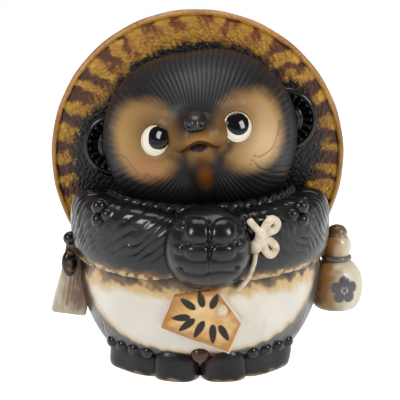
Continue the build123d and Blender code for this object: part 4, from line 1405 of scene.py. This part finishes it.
def paint_book(places):
    x, y, z = into(BOOK_PLACE, places).T
    streak = 0.65 + 0.35 * np.sin(2 * pi * x / 3.1 + 1.4 * np.sin(x / 2))
    pages = step(9, 12, y) * step(9, 5, x) * streak * step(-27, -12, z + 4 * unevenness(places, 7, 132))
    cover = step(8.4, 9.4, x) * step(13, 11, np.abs(y))
    bars = step(0.6, 0.2, np.abs((z + 2) % BAR_PITCH - BAR_PITCH / 2) - 1.0)
    bars *= step(17, 15, np.abs(z + 6)) * step(9, 8, np.abs(y))
    return sprayed(
        coat_of(PAGE_WHITE, places),
        (PAGE_TAN, 0.4 + 0.4 * unevenness(places, 16, 131)),
        (PAGE_AMBER, 0.95 * pages),
        (BOOK_DARK, 0.92 * step(-1, 11, z + 2 * unevenness(places, 10, 133))),
        (BOOK_BROWN, 0.9 * step(9, -5, x + 2 * unevenness(places, 6, 134)) * step(-30, -12, z)),
        (COVER_GREY, 0.7 * cover * step(14, 6, z)),
        (BAR_GREY, 0.85 * cover * bars),
    )


settle(book, "passbook", BELLY_GLAZE, paint_book)

# %% Toggle and knot of the passbook
TOGGLE_BLACK, TOGGLE_BROWN = "#100D0C", "#7A4E1E"
TOGGLES = {"passbook_toggle": (5.4, 5.2, 9.2), "passbook_knot": (5.2, 5.0, 5.0)}


def paint_toggle(places):
    # The brown patches are a painted highlight, laid at random.
    amber_highlight = step(0.35, 1.0, unevenness(places, 7, 141))
    return sprayed(coat_of(TOGGLE_BLACK, places), (TOGGLE_BROWN, 0.8 * amber_highlight))


for node, half in TOGGLES.items():
    settle(small_balls([middle_of(node)], half, 48, 32), node, WET_GLAZE, paint_toggle)

# %% [markdown]
# ## Feet, pouch and tail
# Under the belly the feet show as low mounds with four bright toes each, and the pouch hangs between
# them. They are thin-glazed, so the black is grey and satin. They could be cut flat with a plane, but
# pressing the lowest vertices on to the table does the same and keeps the skin closed. The tail lies
# along the back, combed into flutes, and thins towards the figure's right.

# %% Mounds of clay
MOUND_SQUARE, MOUND_UP, TABLE_GAP = 2.7, 8, 0.2


def mound(turn, ring, half, seed):
    """A low mound of clay, flat on the table, turned to face out of the torso."""
    facing = np.array(Matrix.Rotation(radians(turn), 3, "Z"))

    def carve(places):
        swell = 1 + 0.02 * unevenness(places, 1.2, seed)
        shape = places * np.array(half) * (swell / blunt(places, MOUND_SQUARE))[:, None]
        shape = shape @ facing.T + np.array(around(turn, ring, MOUND_UP))
        shape[:, 2] = np.maximum(shape[:, 2], TABLE_GAP)
        return shape

    return carve


print("mounds rest", TABLE_GAP, "mm over the table")

# %% Feet, toes and pouch
FOOT_TURN, FOOT_RING, FOOT_HALF = 42, 58.6, (25.4, 16.2, 16.4)
TOE_TURNS, TOE_RING, TOE_UP, TOE_HALF = (-13.5, -4.5, 4.5, 13.5), 71.4, 17.0, (5.2, 5.0, 5.0)
LOBE_TURN, LOBE_RING, POUCH_HALF, TIP_HALF = 14, 61, (16.2, 16.5, 16.5), (6.2, 5.4, 6)
FOOT_BLACK, FOOT_GREY, FOOT_CLAY, POUCH_BROWN = "#100F10", "#212022", "#9A8062", "#5E3014"
POUCH_SPOT = (2, 19, 7, 7)


def paint_foot(places):
    return sprayed(
        coat_of(FOOT_BLACK, places),
        (FOOT_GREY, 0.5 + 0.35 * unevenness(places, 18, 151)),
        (FOOT_CLAY, 0.8 * step(2.4, 0.7, places[:, 2] + unevenness(places, 9, 152))),
    )


def paint_pouch(places):
    return sprayed(paint_foot(places), (POUCH_BROWN, 0.7 * dab(places[:, 0], places[:, 2], POUCH_SPOT)))


for side, sign in SIDES.items():
    foot = ball(160, 80, mound(sign * FOOT_TURN, FOOT_RING, FOOT_HALF, 155 + sign))
    settle(foot, side + "_foot", FUR_GLAZE, paint_foot)
    toe_places = [around(sign * FOOT_TURN + turn, TOE_RING, TOE_UP) for turn in TOE_TURNS]
    settle(small_balls(toe_places, TOE_HALF, 36, 22), side + "_toes", WET_GLAZE, paint_black)
    lobe = ball(96, 64, mound(sign * LOBE_TURN, LOBE_RING, POUCH_HALF, 165 + sign))
    settle(lobe, side + "_pouch_lobe", FUR_GLAZE, paint_pouch)
settle(small_balls([around(0, 74, 19.5)], TIP_HALF), "pouch_knot", WET_GLAZE, paint_pouch)

# %% Tail
TAIL_TURN, TAIL_RING, TAIL_UP, TAIL_FLUTES = 165, 68.6, 16, 16
TAIL_LINE = [(0, -35.6), (8.5, -33.6), (14, -29), (17.2, -21), (17.3, -12), (15.9, -2), (14.2, 8), (12.2, 17),
             (9, 24.4), (4.6, 28), (0, 28.6)]
TAIL_FACING = Matrix.Rotation(radians(270 + TAIL_TURN), 4, "Z") @ Matrix.Rotation(radians(-90), 4, "X")
TAIL_PLACE = Matrix.Translation(around(TAIL_TURN, TAIL_RING, TAIL_UP)) @ TAIL_FACING


def carve_tail(places):
    flutes = TAIL_FLUTES * (spoke_of(places) + 0.012 * places[:, 2]) + 0.8 * unevenness(places, 20, 171)
    shape = places.copy()
    shape[:, :2] *= (0.91 + 0.09 * combed(flutes))[:, None]
    shape = moved(TAIL_PLACE)(shape)
    shape[:, 2] = np.maximum(shape[:, 2], TABLE_GAP)
    return shape


settle(turned(TAIL_LINE, 240, 120, carve_tail), "tail", WET_GLAZE, paint_foot)

# %% [markdown]
# ## Studio
# The ornament stands on a wide white table in soft light: a soft box over each shoulder of the
# camera, a weaker one above, and a dim pale room. More light would whiten the table, but would also
# bleach the cream glaze. So the table's own colour is nearly white, and a glow that only the camera and
# reflections see makes it the plain white of a catalogue page, while the ornament's shadow stays on it.
# Low round the horizon the room is a white backdrop to the same rays.

# %% Table
TABLE_HALF, TABLE_WHITE, FLOOR_GLOW = 30, 0.9, 0.78


def seen_rays(tree):
    """1 for the rays that see a background: the camera's, and those through gloss and glass."""
    seen = tree.nodes.new("ShaderNodeLightPath").outputs
    shown = reckon(tree, "MAXIMUM", seen["Is Camera Ray"], seen["Is Glossy Ray"])
    return reckon(tree, "MAXIMUM", shown, seen["Is Transmission Ray"])


floor_bm = bmesh.new()
bmesh.ops.create_grid(floor_bm, x_segments=1, y_segments=1, size=TABLE_HALF)
floor_mesh = bpy.data.meshes.new("floor")
floor_bm.to_mesh(floor_mesh)
floor_bm.free()
floor = bpy.data.objects.new("floor", floor_mesh)
bpy.context.scene.collection.objects.link(floor)
paper = bpy.data.materials.new("studio_paper")
paper.use_nodes = True
paper_tree = paper.node_tree
paper_shader = paper_tree.nodes["Principled BSDF"]
setting(paper_shader, {"Base Color": (TABLE_WHITE, TABLE_WHITE, TABLE_WHITE, 1), "Roughness": 0.9,
                       "Specular IOR Level": 0.0, "Emission Color": (1, 1, 1, 1)})
glow = reckon(paper_tree, "MULTIPLY", seen_rays(paper_tree), FLOOR_GLOW)
paper_tree.links.new(glow, paper_shader.inputs["Emission Strength"])
floor_mesh.materials.append(paper)
print("table with a glow of", FLOOR_GLOW)

# %% Room
ROOM_LIGHT, BACKDROP_TOP, BACKDROP_FADE = 0.24, 0.24, 0.04
world = bpy.data.worlds.new("studio")
world.use_nodes = True
sky = world.node_tree
backdrop = sky.nodes["Background"]
setting(backdrop, {"Color": (1, 1, 1, 1)})
heading = sky.nodes.new("ShaderNodeSeparateXYZ")
sky.links.new(sky.nodes.new("ShaderNodeTexCoord").outputs["Generated"], heading.inputs[0])
low = reckon(sky, "DIVIDE", reckon(sky, "SUBTRACT", BACKDROP_TOP, heading.outputs["Z"]), BACKDROP_FADE)
low = reckon(sky, "MINIMUM", reckon(sky, "MAXIMUM", low, 0.0), 1.0)
white = reckon(sky, "MULTIPLY", low, seen_rays(sky))
sky.links.new(reckon(sky, "MULTIPLY_ADD", white, 1 - ROOM_LIGHT, ROOM_LIGHT), backdrop.inputs["Strength"])
bpy.context.scene.world = world
print("room light of", ROOM_LIGHT)

# %% Soft boxes
CHEST = Vector((0, 0, 0.12))
# Each soft box's place, width and height in metres, and watts.
SOFT_BOXES = {
    "left_box": ((-0.8, -0.75, 0.75), (0.3, 0.45), 7.2),
    "right_box": ((0.85, -0.65, 0.7), (0.3, 0.45), 7.2),
    "top_box": ((0, 0.1, 1.2), (0.9, 0.6), 6),
}
for name, (place, size, watts) in SOFT_BOXES.items():
    lamp = bpy.data.lights.new(name, "AREA")
    lamp.shape = "RECTANGLE"
    lamp.size, lamp.size_y = size
    lamp.energy = watts
    holder = bpy.data.objects.new(name, lamp)
    holder.location = place
    holder.rotation_euler = (CHEST - Vector(place)).to_track_quat("-Z", "Y").to_euler()
    bpy.context.scene.collection.objects.link(holder)
print("soft boxes:", len(SOFT_BOXES))

# %% [markdown]
# ## Camera
# The photograph was taken from a little above, with a long lens. The camera could be placed by eye, but
# its distance, rise and focal length in pixels were fitted to the ornament's outline instead.

# %% Camera
CAMERA_AWAY, CAMERA_RISE, CAMERA_TARGET = 0.75, radians(12), Vector((0, 0, 0.107))
FOCAL_PIXELS, PHOTO_PIXELS, SENSOR = 1061, 400, 36
camera_data = bpy.data.cameras.new("camera")
camera_data.sensor_width = SENSOR
camera_data.lens = SENSOR * FOCAL_PIXELS / PHOTO_PIXELS
camera = bpy.data.objects.new("camera", camera_data)
camera.location = CAMERA_TARGET + CAMERA_AWAY * Vector((0, -cos(CAMERA_RISE), sin(CAMERA_RISE)))
camera.rotation_euler = (CAMERA_TARGET - camera.location).to_track_quat("-Z", "Y").to_euler()
bpy.context.scene.collection.objects.link(camera)
bpy.context.scene.camera = camera
bpy.context.scene.view_settings.view_transform = "Standard"
print("lens of", round(camera_data.lens, 1), "mm")
